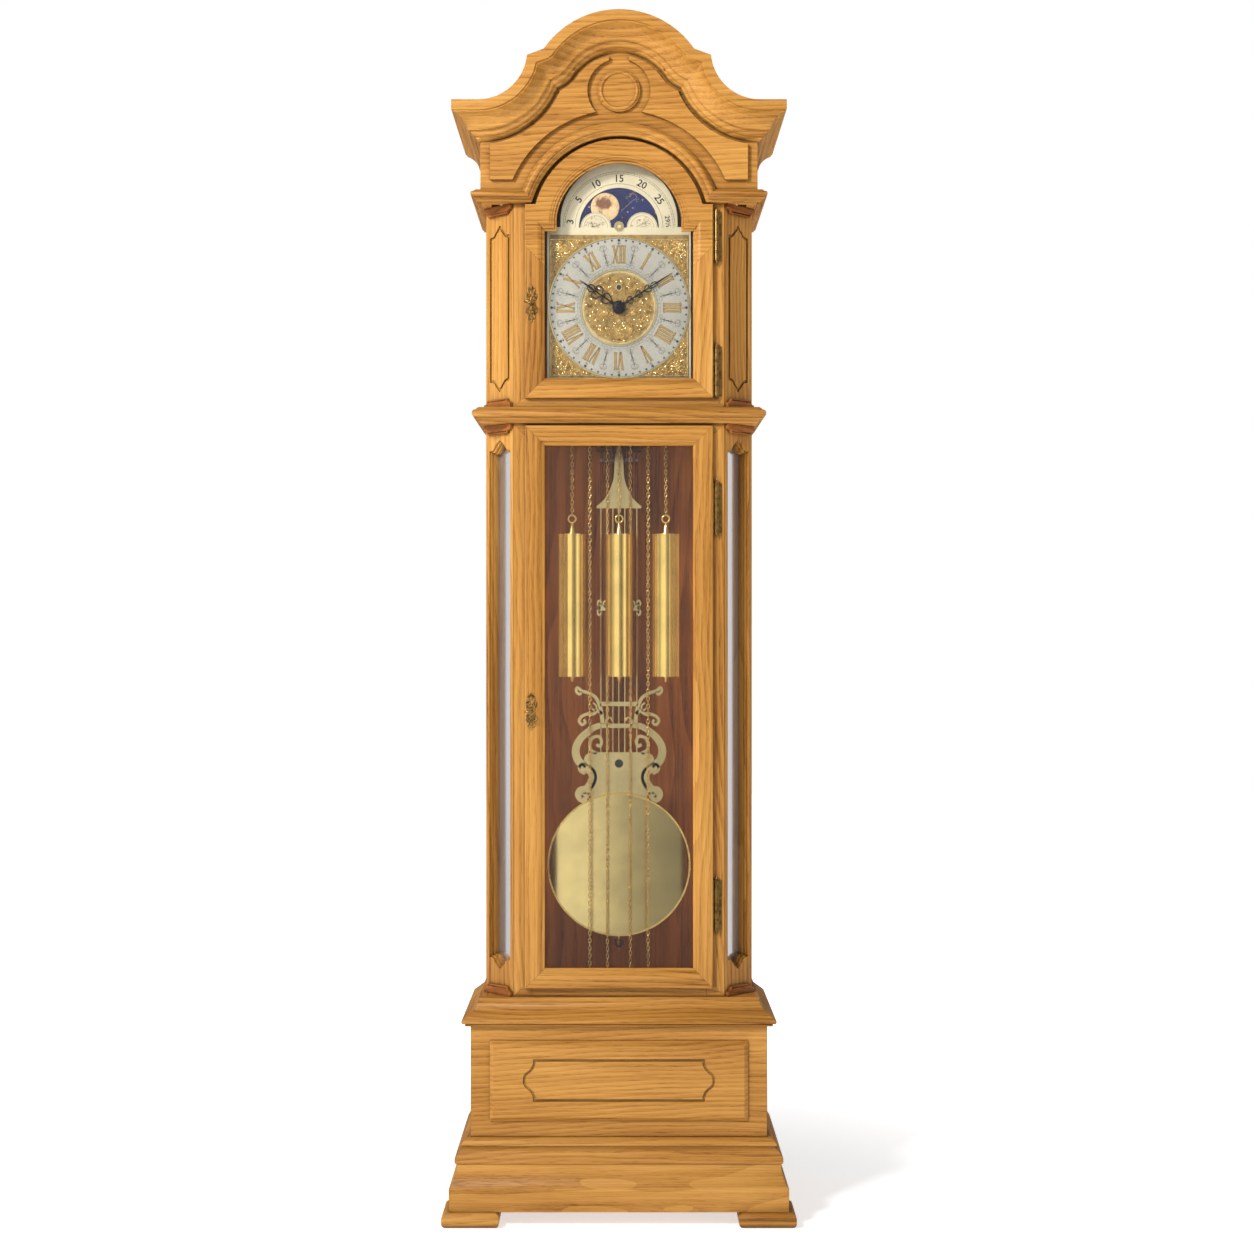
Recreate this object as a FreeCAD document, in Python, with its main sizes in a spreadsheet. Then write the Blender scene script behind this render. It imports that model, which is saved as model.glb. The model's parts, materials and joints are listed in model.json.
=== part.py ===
import math
import os
import re

import FreeCAD
import Part
import Sketcher

# Long-case clock: an oak case with a glazed trunk, an arched hood, a chain-driven three-weight
# movement, a lyre pendulum and chime rods.
# Frame: X to the viewer's right, Y towards the wall, Z up; the origin is on the floor, below the
# middle of the case. All lengths are millimetres.

V = FreeCAD.Vector
doc = FreeCAD.newDocument("grandfather_clock")
sheet = doc.addObject("Spreadsheet::Sheet", "dimensions")

DIMENSIONS = {
    # the case from the floor up; a "front" is a distance in front of the origin
    "back_face": 165,
    "board": 18,
    "feet_half": 299,
    "feet_front": 165,
    "foot_length": 97,
    "foot_depth": 92,
    "foot_height": 25,
    "foot_round": 9,
    "plinth_half": 287,
    "plinth_front": 153,
    "plinth_top": 104,
    "plinth_wall": 24,
    "plinth_moulding_half": 278,
    "plinth_moulding_front": 144,
    "base_half": 252.5,
    "base_front": 119,
    "base_bottom": 144,
    "base_top": 333,
    "base_board": 20,
    "base_panel_half": 220,
    "base_panel_bottom": 172,
    "base_panel_top": 308,
    "base_panel_thick": 10,
    "base_panel_bevel": 7,
    "waist_half": 240,
    "waist_front": 106,
    # trunk
    "trunk_half": 231,
    "trunk_front": 97,
    "trunk_bottom": 379,
    "trunk_top": 1361,
    "cant": 50,
    "post_depth": 67,
    "strip_half": 181,
    "frame_back": 79,
    "frame_opening_half": 150,
    # hood
    "hood_bottom": 1388.5,
    "hood_top": 1738,
    "arch_level_top": 1759,
    "frieze_half": 237,
    "frieze_front": 106,
    "arch_centre": 1697,
    "arch_inner": 154.5,
    "arch_outer": 176,
    "panel_arch": 198,
    "roof_bottom": 1866,
    "roof_top": 1884,
    # cornice: its top line runs flat, sweeps up, turns at a shoulder and goes over an arch
    "cornice_flat": 1902,
    "cornice_arch_centre": 1900,
    "cornice_arch": 154,
    "cornice_notch_angle": 35.2,
    "cornice_notch": 5,
    "shoulder_fall": 20,
    "shoulder_length": 28.7,
    "cornice_sweep": 83,
    "cornice_band": 60,
    "cornice_overhang": 46,
    "roundel_centre": 1928,
    "roundel_radius": 36,
    "keyhole_radius": 54,
    "keyhole_gap": 17,
    # doors
    "door_half": 161,
    "door_front": 107,
    "door_lip": 9.7,
    "door_back": 84,
    "door_inner_half": 147,
    "stile": 34,
    "trunk_door_bottom": 394,
    "trunk_door_top": 1357,
    "hood_door_bottom": 1404,
    "hood_door_top": 1735,
    "hood_door_arch": 147,
    "hood_door_centre": 1699,
    "hood_glass_arch": 108,
    "impost": 1690,
    "glass_thick": 4,
    "lock_offset": 150,
    "hood_lock": 1565,
    "trunk_lock": 868,
    # hinges
    "hinge_offset": 167,
    "hinge_front": 103,
    "knuckle": 4,
    "pin": 1.5,
    "pin_clearance": 0.07,
    "hinge_length": 86,
    # dial
    "dial_half": 124,
    "dial_bottom": 1439,
    "dial_top": 1703,
    "dial_front": 72,
    "dial_thick": 2,
    "dial_centre": 1563.5,
    "moon_arch": 101,
    "moon_arch_centre": 1713,
    "moon_centre": 1702,
    "moon_window": 69,
    "moon_disc_radius": 73,
    "hump": 26.5,
    "hump_offset": 40,
    "chapter_outer": 120.5,
    "chapter_inner": 66,
    "centre_relief": 62,
    "hour_length": 82.7,
    "minute_length": 109.5,
    "hour_angle": 304.8,
    "minute_angle": 57.3,
    # movement
    "plate_half": 92,
    "plate_bottom": 1445,
    "plate_top": 1650,
    "front_plate": 50,
    "plate_gap": 52,
    "plate_thick": 3,
    "sprocket_height": 1500,
    "sprocket_offset": 66.5,
    "going_offset": 10,
    "chain_drop": 15.5,
    "going_drop": 10.25,
    "chain_radius": 2.5,
    "chain_front": 25,
    "free_chain_bottom": 300,
    "loop_plane": 5,
    # weights
    "weight_radius": 24,
    "weight_bottom": 926,
    "weight_top": 1175,
    "weight_hook_top": 1210,
    # pendulum
    "pivot": 1590,
    "spring_gap": 0.4,
    "pendulum_plane": 35.75,
    "rod_radius": 2.25,
    "rod_spacing": 10.7,
    "plate_metal": 2.5,
    "bob_radius": 127,
    "bob_centre": 591,
    "bob_thick": 8,
    "bob_dome": 4,
    # chimes
    "chime_plane": 115,
    "chime_pitch": 9,
    "chime_top": 1345,
    "chime_radius": 2.2,
}

NODES = []


# ---------------------------------------------------------------- document helpers

def fill_sheet():
    for row, (alias, value) in enumerate(DIMENSIONS.items(), 1):
        sheet.set("A%d" % row, alias)
        sheet.set("B%d" % row, str(value))
        sheet.setAlias("B%d" % row, alias)
    doc.recompute()


def size(alias):
    return float(sheet.get(alias))


def bound(rule):
    """An expression whose words are read from the sheet."""
    return re.sub(r"[a-z]\w+", lambda word: "dimensions." + word.group(), str(rule))


def board(name, x, y, z):
    """A box between the low and the high rule of each axis."""
    item = doc.addObject("Part::Box", name)
    for side, place, (low, high) in zip(("Length", "Width", "Height"), "xyz", (x, y, z)):
        item.setExpression(side, bound("(%s) - (%s)" % (high, low)))
        item.setExpression("Placement.Base." + place, bound(low))
    return item


def round_bar(name, radius, length, x, y, z, along="z"):
    """A cylinder that starts at the given point and runs up, or along +Y."""
    item = doc.addObject("Part::Cylinder", name)
    if along == "y":
        item.Placement = FreeCAD.Placement(V(), FreeCAD.Rotation(V(1, 0, 0), -90))
    item.setExpression("Radius", bound(radius))
    item.setExpression("Height", bound(length))
    for place, rule in zip("xyz", (x, y, z)):
        item.setExpression("Placement.Base." + place, bound(rule))
    return item


def taper(name, low_radius, high_radius, length, x, y, z, along="z"):
    item = doc.addObject("Part::Cone", name)
    if along == "y":
        item.Placement = FreeCAD.Placement(V(), FreeCAD.Rotation(V(1, 0, 0), -90))
    item.setExpression("Radius1", bound(low_radius))
    item.setExpression("Radius2", bound(high_radius))
    item.setExpression("Height", bound(length))
    for place, rule in zip("xyz", (x, y, z)):
        item.setExpression("Placement.Base." + place, bound(rule))
    return item


def ring(name, radius, wire_radius, x, y, z, facing="y"):
    """A torus about the given centre."""
    item = doc.addObject("Part::Torus", name)
    if facing == "y":
        item.Placement = FreeCAD.Placement(V(), FreeCAD.Rotation(V(1, 0, 0), -90))
    if facing == "x":
        item.Placement = FreeCAD.Placement(V(), FreeCAD.Rotation(V(0, 1, 0), 90))
    item.setExpression("Radius1", bound(radius))
    item.setExpression("Radius2", bound(wire_radius))
    for place, rule in zip("xyz", (x, y, z)):
        item.setExpression("Placement.Base." + place, bound(rule))
    return item


def fuse(name, items):
    item = doc.addObject("Part::MultiFuse", name)
    item.Shapes = items
    return item


def cut(name, base, tools):
    item = doc.addObject("Part::Cut", name)
    item.Base = base
    item.Tool = tools[0] if len(tools) == 1 else fuse(name + "_tools", tools)
    return item


def group(name, items):
    """Separate solids kept together as one sub-part."""
    item = doc.addObject("Part::Compound", name)
    item.Links = items
    return item


def feature(name, shape):
    item = doc.addObject("Part::Feature", name)
    item.Shape = shape
    item.Placement = shape.Placement
    return item


def keep(label, item):
    item.Label = label
    NODES.append(item)
    return item


def plate(name, outline, low, high, holes=()):
    """A PartDesign body: a front-view outline, with holes, padded along +Y between two rules."""
    body = doc.addObject("PartDesign::Body", name)
    sketch = body.newObject("Sketcher::SketchObject", name + "_sketch")
    plane = [item for item in body.Origin.OriginFeatures if item.Role == "XZ_Plane"][0]
    sketch.AttachmentSupport = [(plane, "")]
    sketch.MapMode = "FlatFace"
    for loop in (outline,) + tuple(holes):
        for piece in loop:
            index = sketch.addGeometry(curve(piece, lambda u, v: V(u, v, 0)), False)
            sketch.addConstraint(Sketcher.Constraint("Block", index))
    pad = body.newObject("PartDesign::Pad", name + "_pad")
    pad.Profile = sketch
    pad.Reversed = True
    pad.setExpression("Length", bound("(%s) - (%s)" % (high, low)))
    sketch.setExpression(".AttachmentOffset.Base.z", bound("-(%s)" % low))
    return body


# ---------------------------------------------------------------- outline helpers

def trace(start, steps):
    """Joined pieces (start, middle, end); a step is a point, or a middle and an end for an arc."""
    pieces = []
    for step in steps:
        middle = tuple(step[:2]) if len(step) == 4 else None
        end = tuple(step[-2:])
        pieces.append((tuple(start), middle, end))
        start = end
    return pieces


def flipped(pieces):
    """The same pieces on the other side of the middle line, run backwards."""
    turn = lambda point: (-point[0], point[1]) if point else None
    return [(turn(end), turn(middle), turn(start)) for start, middle, end in reversed(pieces)]


def both_sides(right):
    """A closed outline from its right side, which starts and ends anywhere."""
    left = flipped(right)
    top = [(right[-1][2], None, left[0][0])] if right[-1][2] != left[0][0] else []
    bottom = [(left[-1][2], None, right[0][0])] if left[-1][2] != right[0][0] else []
    return right + top + left + bottom


def rectangle(half, low, high):
    return trace((-half, low), [(half, low), (half, high), (-half, high), (-half, low)])


def circle(u, v, radius):
    return trace((u - radius, v), [(u, v + radius, u + radius, v), (u, v - radius, u - radius, v)])


def curve(piece, place):
    start, middle, end = piece
    if middle:
        return Part.Arc(place(*start), place(*middle), place(*end))
    return Part.LineSegment(place(*start), place(*end))


def face(pieces, place):
    edges = [curve(piece, place).toShape() for piece in pieces]
    return Part.Face(Part.Wire(Part.sortEdges(edges)[0]))


def slab(pieces, low, high):
    """A front-view outline made solid between two Y values."""
    return face(pieces, lambda u, v: V(u, low, v)).extrude(V(0, high - low, 0))


def side_slab(pieces, half):
    """A side-view outline (Y, Z) made solid from -half to half in X."""
    return face(pieces, lambda u, v: V(-half, u, v)).extrude(V(2 * half, 0, 0))


def plan_slab(pieces, low, high):
    return face(pieces, lambda u, v: V(u, v, low)).extrude(V(0, 0, high - low))


def block(x_low, x_high, y_low, y_high, z_low, z_high):
    corner = V(x_low, y_low, z_low)
    return Part.makeBox(x_high - x_low, y_high - y_low, z_high - z_low, corner)


def mirrored(shape):
    return shape.mirror(V(), V(1, 0, 0))


def bevelled(shape, width, y):
    """Chamfers every edge that lies at the given Y."""
    edges = [edge for edge in shape.Edges
             if abs(edge.BoundBox.YMin - y) < 1e-4 and abs(edge.BoundBox.YMax - y) < 1e-4]
    return shape.makeChamfer(width, edges)


def groove(pieces, width, low, high):
    """A channel that follows a closed front-view outline."""
    line = face(pieces, lambda u, v: V(u, low, v)).OuterWire
    outer = Part.Face(line.makeOffset2D(width / 2))
    inner = Part.Face(line.makeOffset2D(-width / 2))
    return outer.cut(inner).extrude(V(0, high - low, 0))


def moulded_block(profile, half, front):
    """A block whose sides and front stand out by the profile (out, height), mitred at the corners."""
    right = [(tuple((half + a[0], a[1])), b and (half + b[0], b[1]), (half + c[0], c[1]))
             for a, b, c in profile]
    fore = [((-front - a[0], a[1]), b and (-front - b[0], b[1]), (-front - c[0], c[1]))
            for a, b, c in profile]
    back = size("back_face")
    low, high = profile[0][0][1], profile[-1][2][1]
    fore = fore + trace(fore[-1][2], [(back, high), (back, low), fore[0][0]])
    across = slab(both_sides(right), -2 * front, 2 * back)
    return across.common(side_slab(fore, 2 * half))


def rails(shape, inner_half, inner_front, inner_back):
    """The front, side and back members of a moulded block with an open middle."""
    box = shape.BoundBox
    far = 10
    low, high = box.ZMin - far, box.ZMax + far
    left, right, front, back = box.XMin - far, box.XMax + far, box.YMin - far, box.YMax + far
    members = [
        block(left, right, front, -inner_front, low, high),
        block(left, -inner_half, -inner_front, inner_back, low, high),
        block(inner_half, right, -inner_front, inner_back, low, high),
    ]
    if inner_back < box.YMax - 1e-6:
        members.append(block(left, right, inner_back, back, low, high))
    return Part.makeCompound([shape.common(member).Solids[0] for member in members])


# ---------------------------------------------------------------- case, from the floor up

def make_feet():
    half, front, back = size("feet_half"), size("feet_front"), size("back_face")
    long, deep, high = size("foot_length"), size("foot_depth"), size("foot_height")
    feet = []
    for x in (-half, half - long):
        for y in (-front, back - deep):
            foot = block(x, x + long, y, y + deep, 0, high)
            edges = [edge for edge in foot.Edges if edge.BoundBox.ZLength < 1e-6]
            if y > 0:
                edges = [edge for edge in edges if edge.BoundBox.YMin < back - 1]
            feet.append(foot.makeFillet(size("foot_round"), edges))
    keep("feet", feature("feet", Part.makeCompound(feet)))


def make_plinth():
    low, high = size("foot_height"), size("plinth_top")
    profile = trace((-1, low), [(0, low), (0, 64), (-1.5, 66), (-8, 79, -12, high)])
    plinth = moulded_block(profile, size("plinth_half"), size("plinth_front"))
    wall = size("plinth_wall")
    inner = size("plinth_half") - wall
    members = rails(plinth, inner, size("plinth_front") - wall, size("back_face") - wall)
    keep("plinth", feature("plinth", members))

    top = size("base_bottom")
    profile = trace((-6, high), [
        (-1, high), (0, high + 3), (0, high + 9), (-7, high + 20), (-13, high + 24), (-13, high + 26),
        (-10, high + 28), (-10, high + 31), (-15, high + 37), (-20, top),
    ])
    moulding = moulded_block(profile, size("plinth_moulding_half"), size("plinth_moulding_front"))
    inner = size("base_half") - size("base_board")
    members = rails(moulding, inner, size("base_front") - size("base_board"), size("back_face"))
    keep("plinth_moulding", feature("plinth_moulding", members))


def make_base():
    front = board("base_front_board", ("-base_half", "base_half"),
                  ("-base_front", "-base_front + base_board"), ("base_bottom", "base_top"))
    sides = []
    for name, x in (("left", ("-base_half", "-base_half + base_board")),
                    ("right", ("base_half - base_board", "base_half"))):
        sides.append(board("base_" + name, x, ("-base_front + base_board", "back_face"),
                           ("base_bottom", "base_top")))
    keep("base_box", group("base_box", [front] + sides))
    keep("base_floor", board("base_floor", ("-base_half + base_board", "base_half - base_board"),
                             ("-base_front + base_board", "back_face - 15"),
                             ("base_bottom", "base_bottom + 16")))


def ogee_frame(half, low, high, bulge):
    """A straight-sided outline whose ends swell outwards in an ogee."""
    middle = (low + high) / 2
    right = trace((half, low), [
        (half, low + 5), (half + 3, low + 13, half + bulge * 0.55, low + 20),
        (half + bulge * 0.93, middle - 7, half + bulge, middle),
        (half + bulge * 0.93, middle + 7, half + bulge * 0.55, high - 20),
        (half + 3, high - 13, half, high - 5), (half, high),
    ])
    return both_sides(right)


def make_base_panel():
    front = size("base_front") + size("base_panel_thick")
    outline = rectangle(size("base_panel_half"), size("base_panel_bottom"), size("base_panel_top"))
    panel = bevelled(slab(outline, -front, -size("base_front")), size("base_panel_bevel"), -front)
    line = ogee_frame(144, 208, 276, 17)
    panel = panel.cut(groove(line, 4.5, -front - 1, -front + 3))
    keep("base_panel", feature("base_panel", panel))


def make_waist_moulding():
    low, high = size("base_top"), size("trunk_bottom")
    profile = trace((20, low), [
        (21.8, low + 2.5, 20, low + 5), (25, low + 5), (27.5, low + 9, 25, low + 13),
        (14, low + 21), (6.5, low + 27.5, 2, low + 37), (0, low + 39), (0, high),
    ])
    moulding = moulded_block(profile, size("waist_half"), size("waist_front"))
    inner = size("trunk_half") - size("board")
    members = rails(moulding, inner, size("frame_back"), size("back_face"))
    keep("waist_moulding", feature("waist_moulding", members))


def make_sides():
    boards = []
    for name, low, high in (("trunk", "trunk_bottom", "trunk_top"), ("hood", "hood_bottom", "hood_top")):
        for hand, x in (("left", ("-trunk_half", "-trunk_half + board")),
                        ("right", ("trunk_half - board", "trunk_half"))):
            boards.append(board(name + "_side_" + hand, x, ("-trunk_front + post_depth", "back_face"),
                                (low, high)))
    keep("case_sides", group("case_sides", boards))


def make_back_board():
    wide, narrow = size("base_half") - size("base_board"), size("trunk_half") - size("board")
    right = trace((wide, size("base_bottom")), [
        (wide, size("base_top")), (narrow, size("base_top")), (narrow, size("roof_bottom")),
    ])
    keep("back_board", plate("back_board", both_sides(right), "back_face - 15", "back_face"))


def pointed_frame(half, low, high):
    """A tall outline whose ends rise in an ogee to a point."""
    drop = 18
    end = trace((half, high - drop), [
        (half - 4, high - drop), (half - 9, high - drop + 2, half - 13.5, high - drop + 7.5),
        (half - 19.5, high - 4.5, 0, high),
    ])
    foot = [((u, low + high - v), m and (m[0], low + high - m[1]), (w, low + high - t))
            for (u, v), m, (w, t) in end]
    foot = [(c, b, a) for a, b, c in reversed(foot)]
    side = [(foot[-1][2], None, end[0][0])]
    right = foot + side + end
    return right + flipped(right)


def canted(shape):
    """Turns a front-view piece, made about X = 0 and Y = 0, onto the right-hand corner face."""
    turned = shape.copy()
    turned.rotate(V(), V(0, 0, 1), 45)
    half_cant = size("cant") / 2
    turned.translate(V(size("trunk_half") - half_cant, -size("trunk_front") + half_cant, 0))
    return turned


def post_plan(low, high):
    half, front, strip = size("trunk_half"), size("trunk_front"), size("strip_half")
    inner, back = half - size("board"), front - size("post_depth")
    rear = size("frame_back")
    tongue = inner - (rear - 4 - back)
    outline = trace((strip, -front), [
        (half, -front + size("cant")), (half, -back), (inner, -back), (tongue, -rear + 4),
        (tongue, -rear), (strip, -rear), (strip, -front),
    ])
    return plan_slab(outline, low, high)


def make_corner_posts():
    glass_depth, glass_half = 19, 28.6
    low, high = 422, 1335
    trunk = post_plan(size("trunk_bottom"), size("trunk_top"))
    trunk = trunk.cut(canted(slab(pointed_frame(22.5, low + 4.5, high - 4.5), -5, 60)))
    trunk = trunk.cut(canted(slab(pointed_frame(24.5, low + 2.5, high - 2.5), -5, 9)))
    trunk = trunk.cut(canted(slab(pointed_frame(27, low, high), -5, 4)))
    rebate = block(-glass_half, glass_half, glass_depth, 60, low - 5, high + 5)
    trunk = trunk.cut(canted(rebate))
    hood = post_plan(size("hood_bottom"), size("hood_top"))
    line = pointed_frame(23, 1420, 1703)
    hood = hood.cut(canted(groove(line, 5, -5, 3.5)))
    posts = [trunk, mirrored(trunk), hood, mirrored(hood)]
    keep("corner_posts", feature("corner_posts", Part.makeCompound(posts)))
    half = glass_half - 0.1
    front = glass_depth + 0.1
    pane = slab(rectangle(half, low - 4.8, high + 4.8), front, front + size("glass_thick"))
    pane = canted(pane)
    keep("corner_glass", feature("corner_glass", Part.makeCompound([pane, mirrored(pane)])))


def corner_block(low, high, wide_below):
    """A small moulded block on the canted face, wider at one end."""
    wide, narrow, depth = 34, 25, 7
    middle = low + (high - low) * 0.55
    right = trace((wide, low), [(wide, middle), (wide - 5, middle + 1, narrow, high)])
    if not wide_below:
        right = [((c[0], low + high - c[1]), b and (b[0], low + high - b[1]), (a[0], low + high - a[1]))
                 for a, b, c in reversed(right)]
    return canted(slab(both_sides(right), -depth, 0))


def make_corner_blocks():
    tall = 16
    blocks = []
    for low, high in ((size("trunk_bottom"), size("trunk_top")), (size("hood_bottom"), size("hood_top"))):
        blocks.append(corner_block(low, low + tall, True))
        blocks.append(corner_block(high - tall, high, False))
    blocks = blocks + [mirrored(item) for item in blocks]
    keep("corner_blocks", feature("corner_blocks", Part.makeCompound(blocks)))


def make_trunk_frame():
    y = ("-trunk_front", "-frame_back")
    opening = ("-frame_opening_half", "frame_opening_half")
    rails_z = (("trunk_bottom", "trunk_door_bottom + 14"), ("trunk_door_top - 14", "trunk_top"))
    items = [
        board("trunk_strip_left", ("-strip_half", opening[0]), y, ("trunk_bottom", "trunk_top")),
        board("trunk_strip_right", (opening[1], "strip_half"), y, ("trunk_bottom", "trunk_top")),
        board("trunk_rail_bottom", opening, y, rails_z[0]),
        board("trunk_rail_top", opening, y, rails_z[1]),
    ]
    keep("trunk_front_frame", group("trunk_front_frame", items))


def nosing(low, high, out):
    """The stepped, round-nosed profile that the two level mouldings share."""
    tall = high - low
    return trace((0, low), [
        (out * 0.35, low), (out * 0.45, low + tall * 0.12, out * 0.55, low + tall * 0.22),
        (out * 0.72, low + tall * 0.22), (out * 0.72, low + tall * 0.34),
        (out * 0.85, low + tall * 0.36), (out, low + tall * 0.58, out * 0.85, low + tall * 0.8),
        (out * 0.7, low + tall * 0.83), (out * 0.62, low + tall * 0.9, out * 0.45, high), (0, high),
    ])


def make_hood_moulding():
    low, high = size("trunk_top"), size("hood_bottom")
    block_all = moulded_block(nosing(low, high, 20), size("trunk_half"), size("trunk_front"))
    inner = size("trunk_half") - size("board")
    members = rails(block_all, inner, size("frame_back"), size("back_face"))
    keep("hood_moulding", feature("hood_moulding", members))


def make_hood_frame():
    front, back = size("trunk_front"), size("frame_back")
    half, low = size("strip_half"), size("hood_bottom")
    centre, radius = size("hood_door_centre"), size("arch_inner") - 0.5
    solid = block(-half, half, -front, -back, low, size("hood_top"))
    arch = slab(circle(0, size("arch_centre"), radius), -front, -back)
    opening_half = size("frame_opening_half")
    opening = block(-opening_half, opening_half, -front - 1, -back + 1,
                    size("hood_door_bottom") + 10, size("hood_door_top") - 9)
    hole = slab(circle(0, centre, size("hood_door_arch") - 10), -front - 1, -back + 1)
    above = block(-half, half, -front, -back, size("hood_top"), size("roof_bottom"))
    frame = solid.fuse(arch.common(above)).cut(opening).cut(hole).removeSplitter()
    keep("hood_front_frame", feature("hood_front_frame", frame))


def make_arch_moulding():
    low, high = size("hood_top"), size("arch_level_top")
    profile = nosing(low, high, 16)
    level = moulded_block(profile, size("frieze_half"), size("frieze_front"))
    members = rails(level, size("frieze_half"), size("frieze_front"), size("back_face")).Solids
    front, left, right = members
    centre, inner, outer = size("arch_centre"), size("arch_inner"), size("arch_outer")
    low_x = math.sqrt(inner ** 2 - (low - centre) ** 2)
    high_x = math.sqrt(outer ** 2 - (high - centre) ** 2)
    lean = (high_x - low_x) / (high - low)
    reach = 200
    wedge = trace((low_x - lean * 30, low - 30), [
        (low_x + lean * reach, low + reach), (-low_x - lean * reach, low + reach),
        (-low_x + lean * 30, low - 30), (low_x - lean * 30, low - 30),
    ])
    wedge = slab(wedge, -200, 0)
    stretch = (outer - inner) / (high - low)
    section = [((inner + (a[1] - low) * stretch, a[0]), b and (inner + (b[1] - low) * stretch, b[0]),
                (inner + (c[1] - low) * stretch, c[0])) for a, b, c in profile]
    section.append((section[-1][2], None, section[0][0]))
    board_face = size("frieze_front")
    turned = face(section, lambda u, v: V(u, -board_face - v, centre))
    arch = turned.revolve(V(0, 0, centre), V(0, -1, 0), 360)
    arch = arch.common(wedge)
    ends = front.cut(wedge)
    pieces = arch.Solids + ends.Solids + [left, right]
    keep("arch_moulding", feature("arch_moulding", Part.makeCompound(pieces)))


# ---------------------------------------------------------------- cornice and pediment

def cornice_line(depth, end):
    """The cornice's top line, moved inwards by depth: from its middle to the flat's end at X = end."""
    arch_z, arch = size("cornice_arch_centre"), size("cornice_arch") - depth
    angle = math.radians(size("cornice_notch_angle"))
    reach = size("cornice_arch") + size("cornice_notch")
    notch_x, notch_z = reach * math.cos(angle), arch_z + reach * math.sin(angle)
    notch = size("cornice_notch") + depth
    fall = math.radians(size("shoulder_fall"))
    run_x, run_z = math.cos(fall), -math.sin(fall)
    sweep_x, sweep_z, sweep = sweep_centre() + (size("cornice_sweep") + depth,)
    at = lambda x, z, radius, turn: (x + radius * math.cos(turn), z + radius * math.sin(turn))
    tangent = at(0, arch_z, arch, angle)
    flare_start = math.pi + angle
    flare_end = 1.5 * math.pi - fall
    flare_middle = (flare_start + flare_end) / 2
    below = at(notch_x, notch_z, notch, flare_end)
    gap_x, gap_z = below[0] - sweep_x, below[1] - sweep_z
    along = gap_x * run_x + gap_z * run_z
    length = -along - math.sqrt(along ** 2 - gap_x ** 2 - gap_z ** 2 + sweep ** 2)
    corner = (below[0] + length * run_x, below[1] + length * run_z)
    corner_turn = math.atan2(corner[1] - sweep_z, corner[0] - sweep_x) % (2 * math.pi)
    sweep_middle = at(sweep_x, sweep_z, sweep, (corner_turn + 1.5 * math.pi) / 2)
    arch_middle = at(0, arch_z, arch, (angle + math.pi / 2) / 2)
    flare = at(notch_x, notch_z, notch, flare_middle)
    steps = [arch_middle + tangent, flare + below, corner, sweep_middle + (sweep_x, sweep_z - sweep)]
    if end > sweep_x:
        steps.append((end, sweep_z - sweep))
    return trace((0, arch_z + arch), steps)


def sweep_centre():
    """The middle of the concave sweep beside the shoulder."""
    angle, fall = math.radians(size("cornice_notch_angle")), math.radians(size("shoulder_fall"))
    reach, notch = size("cornice_arch") + size("cornice_notch"), size("cornice_notch")
    length, sweep = size("shoulder_length"), size("cornice_sweep")
    corner_x = reach * math.cos(angle) - notch * math.sin(fall) + length * math.cos(fall)
    corner_z = (size("cornice_arch_centre") + reach * math.sin(angle) - notch * math.cos(fall)
                - length * math.sin(fall))
    centre_z = size("cornice_flat") + sweep
    return corner_x + math.sqrt(sweep ** 2 - (centre_z - corner_z) ** 2), centre_z


def below_line(depth, half, low, front, back):
    """Everything under the cornice line moved inwards by depth, made solid."""
    line = cornice_line(depth, half + 200)
    right = [(c, b, a) for a, b, c in reversed(line)]
    left = flipped(right)
    end = half + 200
    outline = right + left
    outline += trace(left[-1][2], [(-end, low), (end, low), right[0][0]])
    solid = slab(outline, front, back)
    return solid.common(block(-half, half, front, back, low, low + 1000))


def band_profile():
    """The cornice's section as (depth below the top line, overhang)."""
    band, out = size("cornice_band"), size("cornice_overhang")
    return trace((0, out), [
        (16.5, out), (17.5, out - 3), (20, out - 3), (21, out - 5.5), (29, out - 18, 41, out - 25),
        (45, out - 26), (45.5, out - 30), (49, out - 31), (52.5, out - 33.5, 54, out - 38),
        (57, out - 38.5), (band, out - 43), (band, 0),
    ])


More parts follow.
